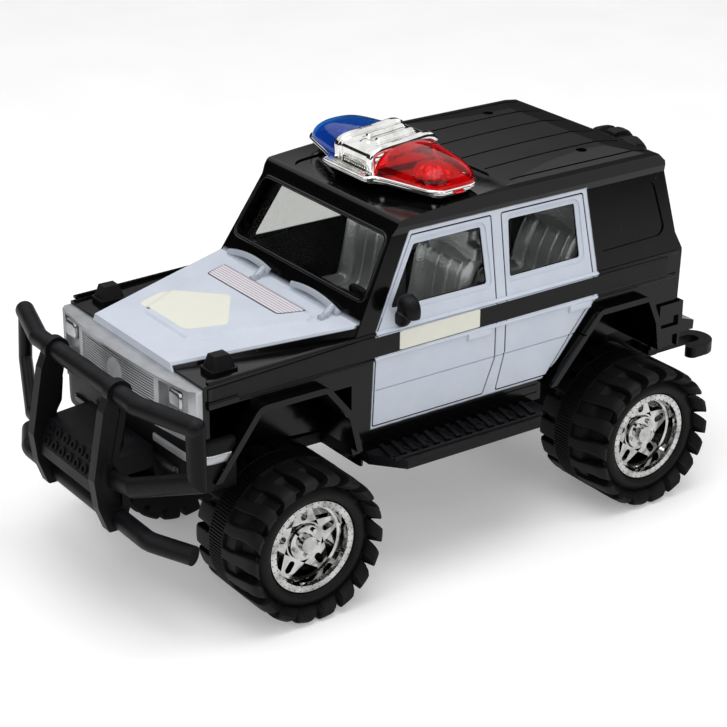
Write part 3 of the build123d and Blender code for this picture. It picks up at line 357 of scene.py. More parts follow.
def silver_sprayed_abs():
    """Silver lacquer sprayed on ABS: a satin metallic with painted shade in its slots and lamp pockets, and a fine
    lacquer grain.
    """
    new, node, coords = begin("silver_sprayed_abs")
    patchy, tone = patches(node, coords, 7.0, linear("#A4A6A9"), linear("#B8BABD"))
    x_axis, y_axis, z_axis = node("SeparateXYZ", coords).node.outputs
    x_side = node("Math", x_axis, **UNSIGNED)
    x_square = node("Math", x_axis, x_axis, **TIMES)

    # how far a point lies behind the panel's face, which bows 3.8 mm over its half width
    bowed = node("Math", x_square, GRILLE_BOW, **TIMES)
    sunk = node("Math", node("Math", y_axis, GRILLE_Y * MM, **MINUS), bowed, **MINUS)
    middle = node("MapRange", x_side, (GRILLE_HALF + 0.5) * MM, (GRILLE_HALF - 0.5) * MM, **SOFT)
    band = node("Math", node("MapRange", z_axis, (GRILLE_TOP + 0.1) * MM, (GRILLE_TOP - 0.1) * MM, **SOFT),
                node("MapRange", z_axis, (GRILLE_FOOT - 0.1) * MM, (GRILLE_FOOT + 0.1) * MM, **SOFT), **TIMES)
    slotted = node("Math", middle, band, **TIMES)

    # painted shade: the floors of the slots are darkened by their depth, and dark lines are ruled on the face at
    # the slots' pitch
    slot_shade = node("Math", node("MapRange", sunk, 0.0004, 0.0009, **SOFT), slotted, **TIMES)
    pitch = node("Math", node("Math", z_axis, SLOT_Z * MM, **MINUS), SLOT_PITCH * MM, **OVER)
    pitch = node("Math", node("Math", pitch, operation="FRACT"), 0.25, **MINUS)
    painted_slot_lines = node("MapRange", node("Math", pitch, **UNSIGNED), 0.29, 0.21, **SOFT)
    rise = node("Math", z_axis, DISC_Z * MM, **MINUS)
    reach = node("Math", node("Math", x_square, node("Math", rise, rise, **TIMES), **PLUS), operation="SQRT")
    front = node("Math", node("MapRange", sunk, 0.004, 0.003, **SOFT),
                 node("MapRange", reach, (DISC_R - 0.1) * MM, (DISC_R + 0.1) * MM, **SOFT), **TIMES)
    painted_slot_lines = node("Math", node("Math", painted_slot_lines, front, **TIMES), slotted, **TIMES)
    dark = node("Math", node("Math", slot_shade, painted_slot_lines, **LARGER), 0.92, **TIMES)

    # painted shade: the lamp pockets at both ends are darkened a little by their depth, and the cross member under
    # the grille is left bare
    ends = node("Math", 0.15, node("Math", middle, 0.15, **TIMES), **MINUS)
    pocket_shade = node("Math", node("MapRange", sunk, 0.0022, 0.0034, **SOFT), band, **TIMES)
    dark = node("Math", dark, node("Math", pocket_shade, ends, **TIMES), **LARGER)
    bare = node("MapRange", z_axis, (MEMBER_Z + 0.5) * MM, (MEMBER_Z - 0.5) * MM, **SOFT)
    # the painted shade of the slots and lamp pockets turns the silver near black
    tone = node("Mix", Factor=dark, A=tone, B=linear("#1C1D1F"), **COLOURS)
    return finish(new, node, IOR=1.5, Base_Color=node("Mix", Factor=bare, A=tone, B=linear("#121214"), **COLOURS),
                  Metallic=node("Math", node("Math", 1.0, bare, **MINUS), 0.6, **TIMES),
                  Roughness=node("Math", patchy, 0.12, 0.3, **TIMES_PLUS), Normal=tooth(node, coords, 0.35, 0.02))


def vacuum_chrome(name, colour, dull, haze=0.04):
    """Aluminium evaporated on ABS under clear lacquer: a mirror, slightly wavy, clouded where it is dull."""
    new, node, coords = begin(name)
    cloud, tone = patches(node, coords, 6.0, dull, colour, 0.3, 0.6)
    return finish(new, node, Metallic=1.0, Base_Color=tone, Normal=tooth(node, coords, 3.0, 0.02, 1.0),
                  Roughness=node("Math", cloud, 0.08, haze, **TIMES_PLUS))


def pvc_rubber(colour):
    """Soft PVC tyre rubber from a sandblasted mould: dark grey, dull, with a fine pitted face."""
    new, node, coords = begin("soft_pvc_rubber")
    patchy, tone = patches(node, coords, 8.0, linear("#08080A"), colour)
    return finish(new, node, IOR=1.52, Specular_IOR_Level=0.15, Base_Color=tone,
                  Roughness=node("Math", patchy, 0.15, 0.48, **TIMES_PLUS), Normal=tooth(node, coords, 0.5, 0.03))


def drawn_steel():
    """Bright drawn steel wire, nickel coloured, with fine lines along the axle."""
    new, node, coords = begin("drawn_steel")
    stretched = node("Mapping", coords, Scale=(0.02, 1.0, 1.0))
    return finish(new, node, Metallic=1.0, Base_Color=linear("#B4B2AC"), Roughness=0.24,
                  Normal=tooth(node, stretched, 0.3, 0.02))


def tinted_lens(name, colour):
    """Polystyrene lens dyed in the melt: deep clear colour, flow ripple and small seeds."""
    new, node, coords = begin(name)
    seeds = node("MapRange", node("TexVoronoi", coords, Scale=repeats(2.6316), out="Distance"), 0.1, 0.2, **SOFT)
    seeds = node("Bump", Height=seeds, Strength=1.0, Distance=0.02 * MM)
    return finish_clear(new, node, colour, IOR=1.3, Transmission_Weight=0.96, Roughness=0.05,
                        Normal=tooth(node, coords, 4.0, 0.05, Normal=seeds))


def printed_vinyl(name, colour, second):
    """Printed vinyl sticker with a matt laminate: flat even ink with a faint paper tooth."""
    new, node, coords = begin(name)
    tone = patches(node, coords, 6.0, second, colour)[1]
    return finish(new, node, IOR=1.5, Roughness=0.5, Specular_IOR_Level=0.2, Base_Color=tone,
                  Normal=tooth(node, coords, 0.6, 0.01))


VENT_PITCH = 1.35


def vent_print():
    """Printed vinyl with thin pinkish grey lines across, VENT_PITCH apart, for the vent on the hood."""
    new, node, coords = begin("vent_print_vinyl")
    # a wave texture of scale s repeats every tau / (20 s)
    waves = node("TexWave", coords, Scale=math.tau / (20.0 * VENT_PITCH * MM), bands_direction="Y",
                 wave_profile="SAW", out="Fac")
    line = node("MapRange", waves, 0.70, 0.78, **SOFT)
    return finish(new, node, IOR=1.5, Roughness=0.45, Normal=tooth(node, coords, 0.6, 0.01),
                  Base_Color=node("Mix", Factor=line, A=linear("#D9D5DC"), B=linear("#8B7E86"), **COLOURS))


# ---------------------------------------------------------------- shapes

def section_rows(*rows):
    """Rows round a tyre's section as an array of six columns.

    A row is x and radius of the lug's top, x and radius of the gap's floor, half the gap as a share of a pitch,
    and the sweep in degrees. A row of four has the gap's floor at the lug's top.
    """
    return np.array([row if len(row) == 6 else (*row[:2], *row) for row in rows])


TREAD_R = 32.0
# from the rib band outwards over the shoulder and down the side wall, and back along the bore and the inner wall
ROAD_ROWS = section_rows(
    (53.0, 32.00, 0.250, 0.0), (53.3, 32.00, 53.3, 30.60, 0.250, 0.0), (57.0, 32.00, 57.0, 30.50, 0.250, -0.3),
    (59.6, 32.00, 59.6, 30.30, 0.250, -0.8), (61.4, 32.00, 61.4, 28.00, 0.248, -1.6),
    (64.5, 32.00, 64.5, 27.70, 0.240, -2.8), (68.5, 31.95, 67.6, 27.40, 0.225, -4.0),
    (71.6, 31.75, 68.8, 27.20, 0.205, -4.4), (73.7, 31.10, 69.2, 27.00, 0.190, -4.2),
    (74.7, 30.00, 69.35, 26.80, 0.175, -2.6), (74.5, 28.60, 69.35, 26.60, 0.155, 0.2),
    (73.0, 27.30, 69.3, 26.40, 0.125, 2.8), (71.0, 26.40, 69.25, 26.20, 0.095, 4.4), (69.3, 25.90, 0.080, 5.2),
    (69.9, 25.20, 0.080, 5.2), (70.7, 24.10, 0.080, 5.2), (71.1, 22.70, 0.080, 5.2), (70.9, 21.40, 0.080, 5.2),
    (70.2, 20.50, 0.080, 5.2), (69.4, 20.15, 0.080, 5.2), (67.6, 20.05, 0.080, 5.2), (67.2, 18.40, 0.080, 5.2),
    (66.8, 17.60, 0.100, 0.0), (50.0, 17.60, 0.150, 0.0), (34.0, 17.60, 0.110, 0.0), (32.8, 18.60, 0.110, 0.0),
    (32.0, 21.00, 0.110, 0.0), (32.0, 26.00, 0.110, 0.0), (32.0, 27.20, 33.2, 27.20, 0.110, 0.0),
    (32.2, 30.60, 35.0, 28.40, 0.110, 0.0), (33.2, 31.70, 36.4, 29.00, 0.110, 0.0),
    (35.0, 32.00, 38.0, 29.40, 0.110, 0.0), (42.6, 32.00, 42.6, 29.80, 0.110, 0.0), (43.0, 32.00, 0.130, 0.0))
# the band of fine ribs: x of each row, and the share of the rib's depth that it has
RIB_ROWS = ((43.3, 0.0), (43.6, 1.0), (48.0, 1.0), (52.4, 1.0), (52.7, 0.0))
# the thin spare tyre in the same form; x runs back from its front face
SPARE_ROWS = section_rows(
    (0.0, 17.6, 0.16, 0.0), (0.0, 26.6, 0.16, 0.0), (0.5, 29.2, 0.8, 28.6, 0.17, 0.0),
    (1.2, 31.3, 1.9, 29.4, 0.18, 0.6), (3.6, 32.1, 3.6, 30.1, 0.18, 1.4), (7.4, 32.1, 7.2, 30.1, 0.18, 2.6),
    (9.2, 31.5, 8.6, 29.6, 0.17, 3.2), (10.8, 29.8, 9.8, 28.0, 0.16, 3.6), (11.8, 27.4, 11.3, 26.6, 0.14, 3.8),
    (12.2, 25.8, 0.12, 3.8), (12.6, 22.4, 0.12, 3.8), (10.6, 20.1, 0.12, 3.8), (10.6, 17.6, 0.12, 3.8))


def treaded_tyre(rows, band, lugs, ribs, rib_depth):
    """Points of one tyre about its own axle, on a grid of section rows and turns, and its faces.

    A point is the lug's top or the gap's floor of its row, turned to its place in the pitch plus the row's sweep.
    Four turns make each rib; inside the gap the same turns spread over the gap's width. The band's rows are ribs
    only.
    """
    turns = 4 * ribs
    step = np.arange(turns)
    first, last = turns // 4, 3 * turns // 4
    in_gap = (step >= first) & (step <= last)
    at_edge = (step == first - 1) | (step == last + 1)

    # places of the gap's walls in each row and of the lug's rounded edges, and of the turns between them
    half, edge, rounding = rows[:, 4], 0.035, 0.22
    walls = np.stack([0 * half, 0.5 - half - edge, 0.5 - half, 0.5 + half, 0.5 + half + edge, 0 * half + 1.0], 1)
    fixed = (0, first - 1, first, last, last + 1, turns)
    place = np.array([np.interp(step, fixed, row) for row in walls])
    x = np.where(in_gap, rows[:, 2:3], rows[:, 0:1])
    radius = np.where(in_gap, rows[:, 3:4], rows[:, 1:2])
    stands = (rows[:, 1:2] - rows[:, 3:4] > 1.0) | (rows[:, 0:1] - rows[:, 2:3] > 1.0)
    radius = radius - rounding * (at_edge & stands)

    # rib band: valleys between ribs lie rib_depth lower
    band = np.array(band).reshape(-1, 2)
    valley = (step % 4 >= 2).astype(float)
    rib_place = (step // 4 + np.array((0.0, 0.40, 0.52, 0.88))[step % 4]) / ribs
    x = np.vstack([x, band[:, :1] + 0 * valley])
    radius = np.vstack([radius, TREAD_R - rib_depth * band[:, 1:] * valley])
    place = np.vstack([place, np.tile(rib_place, (len(band), 1))])
    sweep = np.concatenate([rows[:, 5], np.zeros(len(band))])[:, None]

    pitch = 360.0 / lugs
    angle = np.radians((place + sweep / pitch)[:, None] * pitch + (np.arange(lugs) * pitch)[:, None])
    angle = angle.reshape(len(x), -1)
    x, radius = np.tile(x, (1, lugs)), np.tile(radius, (1, lugs))
    points = np.stack([x, radius * np.cos(angle), radius * np.sin(angle)], -1)
    return points, quads(*x.shape, close_rows=True, close_cols=True)


def studs(count, ring_r, stud_r, height, x_face):
    """Low domes in a ring: each is a quarter-circle profile turned about its own centre, closed at the pole."""
    lift = np.radians((0.0, 30.0, 60.0, 84.0))[:, None]
    ring = np.arange(8)
    turn = ring * math.tau / 8
    reach = stud_r * np.cos(lift)
    dome = np.stack([height * np.sin(lift) + 0 * turn, reach * np.cos(turn), reach * np.sin(turn)], -1)
    dome = np.vstack([dome.reshape(-1, 3), (height, 0, 0), (-0.2, 0, 0)])
    skirt, after = quads(4, 8, close_cols=True), (ring + 1) % 8
    one = np.vstack([skirt[:, [0, 1, 2]], skirt[:, [0, 2, 3]],
                     np.column_stack([24 + ring, 24 + after, np.full(8, 32)]),
                     np.column_stack([after, ring, np.full(8, 33)])])
    spin = np.arange(count) * math.tau / count
    place = np.column_stack([np.full(count, x_face), ring_r * np.cos(spin), ring_r * np.sin(spin)])
    faces = np.arange(count)[:, None, None] * len(dome) + one
    return (place[:, None] + dome).reshape(-1, 3), faces.reshape(-1, 3)


def lengths_along(line):
    """How far each point of a line is from its start, along it."""
    return np.concatenate([[0.0], np.cumsum(np.linalg.norm(np.diff(line, axis=0), axis=1))])


def rounded_outline(corners, radius, spacing=1.5, closed=True):
    """Evenly spaced points along an outline whose corners are rounded by quadratic arcs."""
    corners = np.array(corners, float)
    before, after = np.roll(corners, 1, 0) - corners, np.roll(corners, -1, 0) - corners
    first, second = np.linalg.norm(before, axis=1)[:, None], np.linalg.norm(after, axis=1)[:, None]
    before, after = before / first, after / second
    reach = np.minimum(float(radius), 0.48 * np.minimum(first, second))
    if not closed:
        reach[[0, -1]] = 0.0
    t = np.linspace(0, 1, 7)[None, :, None]
    start, end = corners + before * reach, corners + after * reach
    arc = (1 - t) ** 2 * start[:, None] + 2 * t * (1 - t) * corners[:, None] + t ** 2 * end[:, None]
    line = arc.reshape(-1, 2)
    if closed:
        line = np.vstack([line, line[:1]])
    along = lengths_along(line)
    count = max(int(along[-1] / spacing), 8)
    at = np.linspace(0, along[-1], count + 1)[:count if closed else count + 1]
    return np.stack([np.interp(at, along, line[:, axis]) for axis in (0, 1)], -1)


def normals_of(line, closed=False):
    """Unit normals of a planar line: to the left of its direction, or out of a closed one."""
    along = np.roll(line, -1, 0) - np.roll(line, 1, 0) if closed else np.gradient(line, axis=0)
    along = along / np.linalg.norm(along, axis=1)[:, None]
    normals = np.stack([-along[:, 1], along[:, 0]], -1)
    return -normals if closed and (normals * (line - line.mean(0))).sum() < 0 else normals


def smooth(value, low, high):
    """0 at low, 1 at high, smooth between, as an array."""
    t = np.clip((value - low) / (high - low), 0, 1)
    return t * t * (3 - 2 * t)


def rounding_off(value, start, width):
    """A quarter circle, from 1 where value reaches start to 0 a width further on."""
    return np.sqrt(np.clip(1 - np.clip((value - start) / width, 0, 1) ** 2, 0, 1))


def shut(grid):
    """A grid of closed sections, its ends closed by one more section each, drawn in to its own middle."""
    first, last = grid[:1].mean(1, keepdims=True), grid[-1:].mean(1, keepdims=True)
    return np.concatenate([np.broadcast_to(first, grid[:1].shape), grid, np.broadcast_to(last, grid[-1:].shape)])


def strip_along(path, out, wide, high, sink=1.0, square=False):
    """A raised strip: half an ellipse (or a soft box), wide across and high along out, carried along a path.

    Its back lies sink below the path, and both ends are closed.
    """
    path = np.asarray(path, float)
    out = np.broadcast_to(np.asarray(out, float), path.shape)
    turn = np.radians(np.linspace(0, 180, 13))
    power = 0.45 if square else 1.0
    across = np.sign(np.cos(turn)) * np.abs(np.cos(turn)) ** power * wide / 2
    lift = np.abs(np.sin(turn)) ** power * high
    across, lift = np.append(across, (-wide / 2, wide / 2)), np.append(lift, (-sink, -sink))
    along = np.gradient(path, axis=0)
    along /= np.linalg.norm(along, axis=1)[:, None]
    side = np.cross(out, along)
    side /= np.linalg.norm(side, axis=1)[:, None]
    return loft(shut(path[:, None] + side[:, None] * across[None, :, None] + out[:, None] * lift[None, :, None]))


def straight(start, end, count=12, rise=(0, 0, 0)):
    """Points from start to end, bowed by a parabola that adds rise at the middle."""
    t = np.linspace(0, 1, count)[:, None]
    return np.asarray(start) * (1 - t) + np.asarray(end) * t + 4 * t * (1 - t) * np.asarray(rise, float)


def stacked(outline, profile, radius, place=None, spacing=0.8):
    """A closed solid: a rounded outline set in by each profile row's inset at its height, closed at both ends.

    place maps (u, v, height) to a point; without it they are x, y and z.
    """
    line = rounded_outline(outline, radius, spacing)
    normal, middle = normals_of(line, True), line.mean(0) + 0 * line
    heights = [height for inset, height in profile]
    rings = [middle, *(line - normal * inset for inset, height in profile), middle]
    rings = [np.column_stack([ring, np.full(len(line), height)])
             for ring, height in zip(rings, (heights[0], *heights, heights[-1]))]
    points, faces = loft(np.stack(rings))
    return (place(*points.T) if place else points), faces


def beside(side, x):
    """Maps (y, z, height) to the upright plane at x on one side of the car, with height outwards."""
    return lambda y, z, height: np.stack([side * (x + height), y, z], -1)


def on_hood(x, y, height):
    """A point at a height above the hood: its flat slope, plus the raised panel with a soft step at its edge.

    The step is a smooth function of the distance inside the panel's outline, the least over its sides.
    """
    corners = np.array(HOOD_PANEL)
    sides = np.roll(corners, -1, 0) - corners
    sides /= np.linalg.norm(sides, axis=1)[:, None]
    inside = ((y[..., None] - corners[:, 1]) * sides[:, 0] - (x[..., None] - corners[:, 0]) * sides[:, 1]).min(-1)
    z = HOOD_FRONT[1] + (y - HOOD_FRONT[0]) * HOOD_RISE + HOOD_RAISED * smooth(inside, -3.0, 0.0) + height
    return np.stack([x, y, z], -1)


def sticker(outline, rings, thickness, place):
    """A thin sheet: rings of its outline shrunk to its middle, lifted by place(u, v, height), with a closed rim.

    The top is the outline scaled from full size to its centre, and the underside lies just below the surface.
    """
    middle = outline.mean(0)
    scale = np.concatenate([[1.0, 0.995], np.linspace(0.96, 0.0, rings)])
    lift = np.concatenate([[0.3, 1.0], np.ones(rings)]) * thickness
    flat = middle + (outline - middle)[None] * scale[:, None, None]
    top = place(flat[..., 0], flat[..., 1], lift[:, None] + 0 * flat[..., 0])
    under = place(flat[::-1, :, 0], flat[::-1, :, 1], np.full(flat.shape[:2], -0.05))
    return np.vstack([top, under]), quads(2 * len(scale), len(outline), close_rows=True, close_cols=True)


# the arch over the middle of the light bar as (y, z), half the outline of its tray as (x, y), and the tray's edge
# as (inset, z) from the roof up
ARCH_LINE = ((-15.8, 158.2), (-16.0, 165.2), (-14.6, 167.4), (-11.0, 168.8), (-6.0, 169.4), (3.0, 170.1),
             (13.0, 171.2), (16.8, 170.4), (19.2, 167.4), (20.4, 158.2))
ARCH_HALF = 13.3
TRAY_HALF = ((12.8, -21.0), (15.8, -20.4), (17.0, -16.2), (24.0, -13.8), (43.2, -8.4), (47.6, -4.6), (46.6, 12.2),
             (42.2, 17.4), (18.0, 21.4), (16.4, 22.6), (13.4, 23.6))
TRAY_EDGE = ((3.6, 154.6), (3.4, 156.0), (1.9, 156.3), (1.2, 156.5), (1.2, 156.9), (0.4, 157.1), (0.0, 157.5),
             (0.0, 158.1), (0.3, 158.6), (0.8, 158.75), (1.3, 158.6), (1.5, 158.3), (2.4, 158.3))


def light_bar_tray():
    """The tray on the roof, the same on both sides of the middle, with a raised lip."""
    return stacked(TRAY_HALF + tuple((-x, y) for x, y in reversed(TRAY_HALF)), TRAY_EDGE, 2.4)


def light_bar_arch():
    """The middle cover: the arch line swept across, raised to a rim at both ends, two long bars and a round boss.

    Height over the arch is the largest of: the rims, rounded at their outer edge; the bars, each a half circle
    across with soft ends; and the boss, a half ellipsoid on the front shoulder.
    """
    line = rounded_outline(ARCH_LINE, 2.4, 0.6, closed=False)
    normal = normals_of(line)
    along = lengths_along(line)[:, None]
    x = np.linspace(-ARCH_HALF, ARCH_HALF, 89)[None, :]
    rim_height, thickness, across = 1.25, 2.4, np.abs(x)
    rim = smooth(across, ARCH_HALF - 4.1, ARCH_HALF - 3.2) * rounding_off(across, ARCH_HALF - 1.0, 1.05)
    rim = rim_height * rim + 0 * along

    # lengths along the arch at which the bars start and end, and at which the boss stands
    upper, fore = len(line) * 3 // 4, len(line) // 2
    front, rear = np.interp((-6.6, 13.0), line[:upper, 0], along[:upper, 0])
    shoulder = np.interp(-8.8, line[:fore, 0], along[:fore, 0])
    bars = [1.5 * np.sqrt(np.clip(1 - ((x - middle) / 1.5) ** 2, 0, 1)) for middle in (-3.4, 3.4)]
    bars = np.maximum(*bars) * smooth(along, front, front + 1.0) * smooth(-along, -rear, -rear + 1.2)
    boss = 0.9 * np.sqrt(np.clip(1 - (x / 2.9) ** 2 - ((along - shoulder) / 2.1) ** 2, 0, 1))
    lift = np.maximum(np.maximum(rim, bars), boss) - rim_height

    skins = [np.dstack([x + 0 * height, *(line[:, [axis]] + normal[:, [axis]] * height for axis in (0, 1))])
             for height in (lift, np.full_like(lift, -thickness))]
    grid = np.concatenate([skins[0], skins[1][:, ::-1]], 1)
    ends = (grid[[0, -1]] + grid[[0, -1], ::-1]) / 2
    return loft(np.concatenate([ends[:1], grid, ends[1:]]))


def light_bar_slits():
    """Seventeen upright fins in the front of the tray, ahead of the arch."""
    fins = (straight((x, -19.3, 158.3), (x, -16.4, 158.3), 5) for x in np.linspace(-10.5, 10.5, 17))
    return joined(*(strip_along(fin, (0, 0, 1), 0.65, 0.7, 0.3, True) for fin in fins))


def arch_wall(side):
    """A thin wall that closes one end of the arch."""
    return stacked(ARCH_LINE, ((1.6, 0.0), (1.5, 0.1), (1.5, 1.3), (1.6, 1.4)), 2.4, beside(side, 11.6))


def beacon(side):
    """A ribbed reflector dome: a half ellipsoid whose radius swells and shrinks twelve times round its axis."""
    middle, floor, radius, height = (side * 29.5, 3.4), 159.4, 7.6, 5.4
    rise = np.linspace(0, math.pi / 2, 15)[:, None]
    turn = np.linspace(0, math.tau, 97)[None, :-1]
    reach = radius * np.cos(rise) ** 0.7 * (1 + 0.1 * np.cos(12 * turn) * np.cos(rise))
    z = floor + height * np.sin(rise) + 0 * turn
    grid = np.stack([middle[0] + reach * np.cos(turn), middle[1] + reach * np.sin(turn), z], -1)
    base = grid[:1].copy()
    base[..., :2] = middle
    return loft(np.concatenate([base, grid]))


def domed_lens(side):
    """A lens shell: superellipse sections whose width and height shrink outwards and close in a rounded end.

    At share s of the way out, half the width is 16.6 mm less 4.6 s^1.2 and the height 10.8 mm less 2.4 s^1.3,
    each times (1 - s^p)^q for the rounded end, and the top is set back by up to 2.4 mm, as the squared sine of the
    section's angle. The inner face is the same shape less the wall.
    """
    x_from, x_to, floor, wall = 13.2, 45.4, 158.4, 1.1
    share = np.sin(np.linspace(0, 1, 34) * math.pi / 2)[:, None]
    turn = np.linspace(0, math.pi, 41)[None, :]
    across, up = np.sign(np.cos(turn)) * np.abs(np.cos(turn)) ** 0.8, np.abs(np.sin(turn)) ** 0.86
    set_back = 3.2 + 0.9 * share + 2.4 * np.sin(turn) ** 2 * (1 - share)
    skins = []
    for less in (0.0, wall):
        wide = (16.6 - less - 4.6 * share ** 1.2) * (1 - share ** 14) ** 0.36
        tall = (10.8 - less - 2.4 * share ** 1.3) * (1 - share ** 7) ** 0.46
        x = x_from + (x_to - x_from - less) * share + 0 * turn
        skins.append(np.stack([side * x, set_back + across * wide, floor + up * tall], -1))
    middle = (skins[0][:1] + skins[1][:1]) / 2
    grid = np.concatenate([skins[0], skins[1][:, ::-1]], 1)
    return loft(np.concatenate([np.concatenate([middle, middle[:, ::-1]], 1), grid]))


def lens_tab(side):
    """The tab that clips a lens's outer end to the tray."""
    foot = straight((side * 46.9, 1.4, 157.4), (side * 46.7, 5.4, 157.4), 6)
    return strip_along(foot, (side, 0, 0), 1.5, 1.6, 0.6, True)


def moulded_seat(x_mid, y_front, floor, squab):
    """A moulded bucket seat: its side outline swept across, with a roll at each side and cut by four channels.

    The skin stands out by 3 mm times part of a half sine over the roll, less narrow bell-shaped channels, and is
    set in by a quarter circle at the end; the back of the seat stays flat.
    """
    top = floor + squab
    outline = ((0, floor), (-0.6, top - 2), (3.0, top + 0.6), (19.6, top), (22.4, top + 11), (25.4, 117.0),
               (28.0, 121.0), (31.4, 121.0), (31.0, floor))
    line = rounded_outline([(y_front + y, z) for y, z in outline], 4.0, 1.1)
    normal = normals_of(line, True)
    front = smooth(normal[:, 1] * 0.8 - normal[:, 0], -0.1, 0.5)[None, :]
    share = np.linspace(-1, 1, 97)[:, None]
    far = np.abs(share)
    roll = np.sin(np.clip((far - 0.6) / 0.36, 0, 1) * math.pi * 0.62)
    channels = np.exp(-((far - 0.2) / 0.022) ** 2) + 1.2 * np.exp(-((far - 0.585) / 0.028) ** 2)
    lift = (3.0 * roll - 0.9 * channels) * front - 3.4 * (1 - rounding_off(far, 0.82, 0.18))
    grid = line[None] + normal[None] * lift[..., None]
    x = x_mid + 18.3 * share + 0 * lift
    return loft(shut(np.concatenate([x[..., None], grid], -1)))


def head_rest(x_mid, y_front):
    """The slab over a seat back: a wide band with a narrower block on it, leaning back, with rounded edges."""
    half = ((17.4, 0.4), (17.4, 8.6), (11.0, 9.6), (10.2, 14.6))
    profile = ((1.6, -6.0), (0.5, -5.6), (0.0, -4.6), (0.0, -1.2), (0.4, -0.4), (1.2, 0.0))

    def place(u, v, height):
        back, up = 0.17 * v - 0.985 * height, 0.985 * v + 0.17 * height
        return np.stack([x_mid + u, y_front + 27.2 + back, 120.0 + up], -1)
    return stacked(((-17.4, 0.4), *half, *((-u, v) for u, v in half[:0:-1])), profile, 1.6, place)


def left_mirror():
    """The left mirror: a hooded cap, domed forward by growing insets, and the stub that carries it."""
    cap = ((54.9, 115.0), (65.0, 114.4), (65.6, 119.4), (63.4, 123.4), (58.6, 124.6), (55.0, 122.4))
    dome = ((0.9, 0.7), (0.3, 0.2), (0.0, 0.6), (0.0, 2.2), (0.2, 3.6), (0.7, 4.8), (1.6, 5.7), (2.8, 6.2))
    stub = ((51.4, 109.0), (55.6, 108.6), (58.8, 111.2), (60.6, 115.4), (56.6, 116.8), (51.2, 114.8))
    block = ((1.6, 0.0), (0.7, 0.2), (0.1, 1.0), (0.0, 2.0), (0.2, 3.2), (1.0, 4.0), (1.9, 4.3))

    def facing(back):
        return lambda u, v, height: np.stack([u, back - height, v], -1)
    return joined(stacked(cap, dome, 2.0, facing(-27.6), 0.4), stacked(stub, block, 1.8, facing(-27.2), 0.4))


def front_beam():
    """The beam under the grille, bent round both front corners, and the strips on its face at both ends."""
    plan = rounded_outline(((-54.6, -108.5), (-54.6, -121.0), (-49.0, -125.0), (0.0, -126.6), (49.0, -125.0),
                            (54.6, -121.0), (54.6, -108.5)), 5.0, 1.2, closed=False)
    out = np.column_stack([-normals_of(plan), np.zeros(len(plan))])
    beam = np.column_stack([plan, np.full(len(plan), 71.5)])
    strips = (strip_along(beam[end] + (0, 0, 3.2), out[end], 3.8, 1.6, 0.5, True)
              for end in (plan[:, 0] < -50.0, plan[:, 0] > 23.0))
    return strip_along(beam, out, 21.0, 1.0, 2.2, True), joined(*strips)


def guard_plate(side):
    """A side plate of the bull bar: a soft-edged section between edges that are read off against height."""
    heights = np.linspace(42.0, 99.0, 60)
    fore = np.interp(heights, (42, 48, 57, 66, 71, 85, 99),
                     (-149.0, -152.4, -155.0, -155.4, -154.9, -151.2, -148.0))
    aft = np.interp(heights, (42, 49, 55, 64, 68, 76, 86, 93, 99),
                    (-145.0, -143.4, -144.5, -148.0, -146.6, -141.9, -140.8, -143.6, -146.0))
    # how far each corner of the section is from the plate's middle, and its share of the way aft
    section = ((-1.9, 0.06), (1.9, 0.06), (2.2, 0.12), (2.2, 0.92), (1.6, 1.0), (-1.6, 1.0), (-2.2, 0.92),
               (-2.2, 0.12))
    corners = [np.column_stack([np.full(len(heights), side * 25.5 + x), fore + (aft - fore) * share, heights])
               for x, share in section]
    return loft(shut(np.stack(corners, 1)))


def windscreen_gasket():
    """A bead round the windscreen, in the plane from the cowl to the roof's edge, both given as (y, z)."""
    foot, head = np.array((-50.9, 107.6)), np.array((-26.2, 151.0))
    up = (head - foot) / np.linalg.norm(head - foot)
    ring = rounded_outline(((-48.6, 14.2), (48.6, 14.2), (45.1, 42.8), (-45.1, 42.8)), 4.2)
    ring = np.vstack([ring, ring[:2]])
    return strip_along(np.column_stack([ring[:, 0], foot + up * ring[:, 1:]]), (0, -up[1], up[0]), 1.7, 0.8, 0.6)


def belt_beads(side):
    """Beads over and under the side stripe, and the block at the front of the lower one."""
    x, out = side * WALL_X, (side, 0, 0)
    upper = np.vstack([straight((x, -119.2, 106.0), (x, -47.0, 107.6), 14),
                       straight((x, -46.0, 107.7), (x, 121.0, 108.4), 14)])
    lower = straight((x, -119.2, 96.5), (x, 121.0, 97.6), 20)
    block = straight((x, -119.4, 96.6), (x, -106.0, 96.9), 8)
    return joined(strip_along(upper, out, 1.5, 1.15), strip_along(lower, out, 1.7, 1.2),
                  strip_along(block, out, 3.4, 1.5, 1.0, True))


def door_handles(side):
    """Two flat handles under the belt, one on each door."""
    x = side * WALL_X
    lines = (straight((x, y - 5.8, 95.3), (x, y + 5.8, 95.3), 8) for y in (11.2, 65.6))
    return joined(*(strip_along(line, (side, 0, 0), 3.3, 1.3, 1.0, True) for line in lines))


def arch_liner(side):
    """The liner behind a front wheel: one broad flap that hangs down, slightly bowed."""
    flap = straight((side * 26.0, -46.6, 64.0), (side * 26.0, -45.8, 49.4), 8, (0, 0.6, 0))
    return strip_along(flap, (0, -1, 0), 49.0, 0.9, 0.7, True)


def well_wall(side):
    """The inner wall of a front wheel's arch."""
    outline = ((-119.0, 70.0), (-119.0, 102.0), (-60.0, 104.0), (-47.0, 101.0), (-47.0, 70.0))
    return stacked(outline, ((1.0, 0.0), (0.0, 0.4), (0.0, 0.8), (1.0, 1.2)), 6.0, beside(side, 29.4))


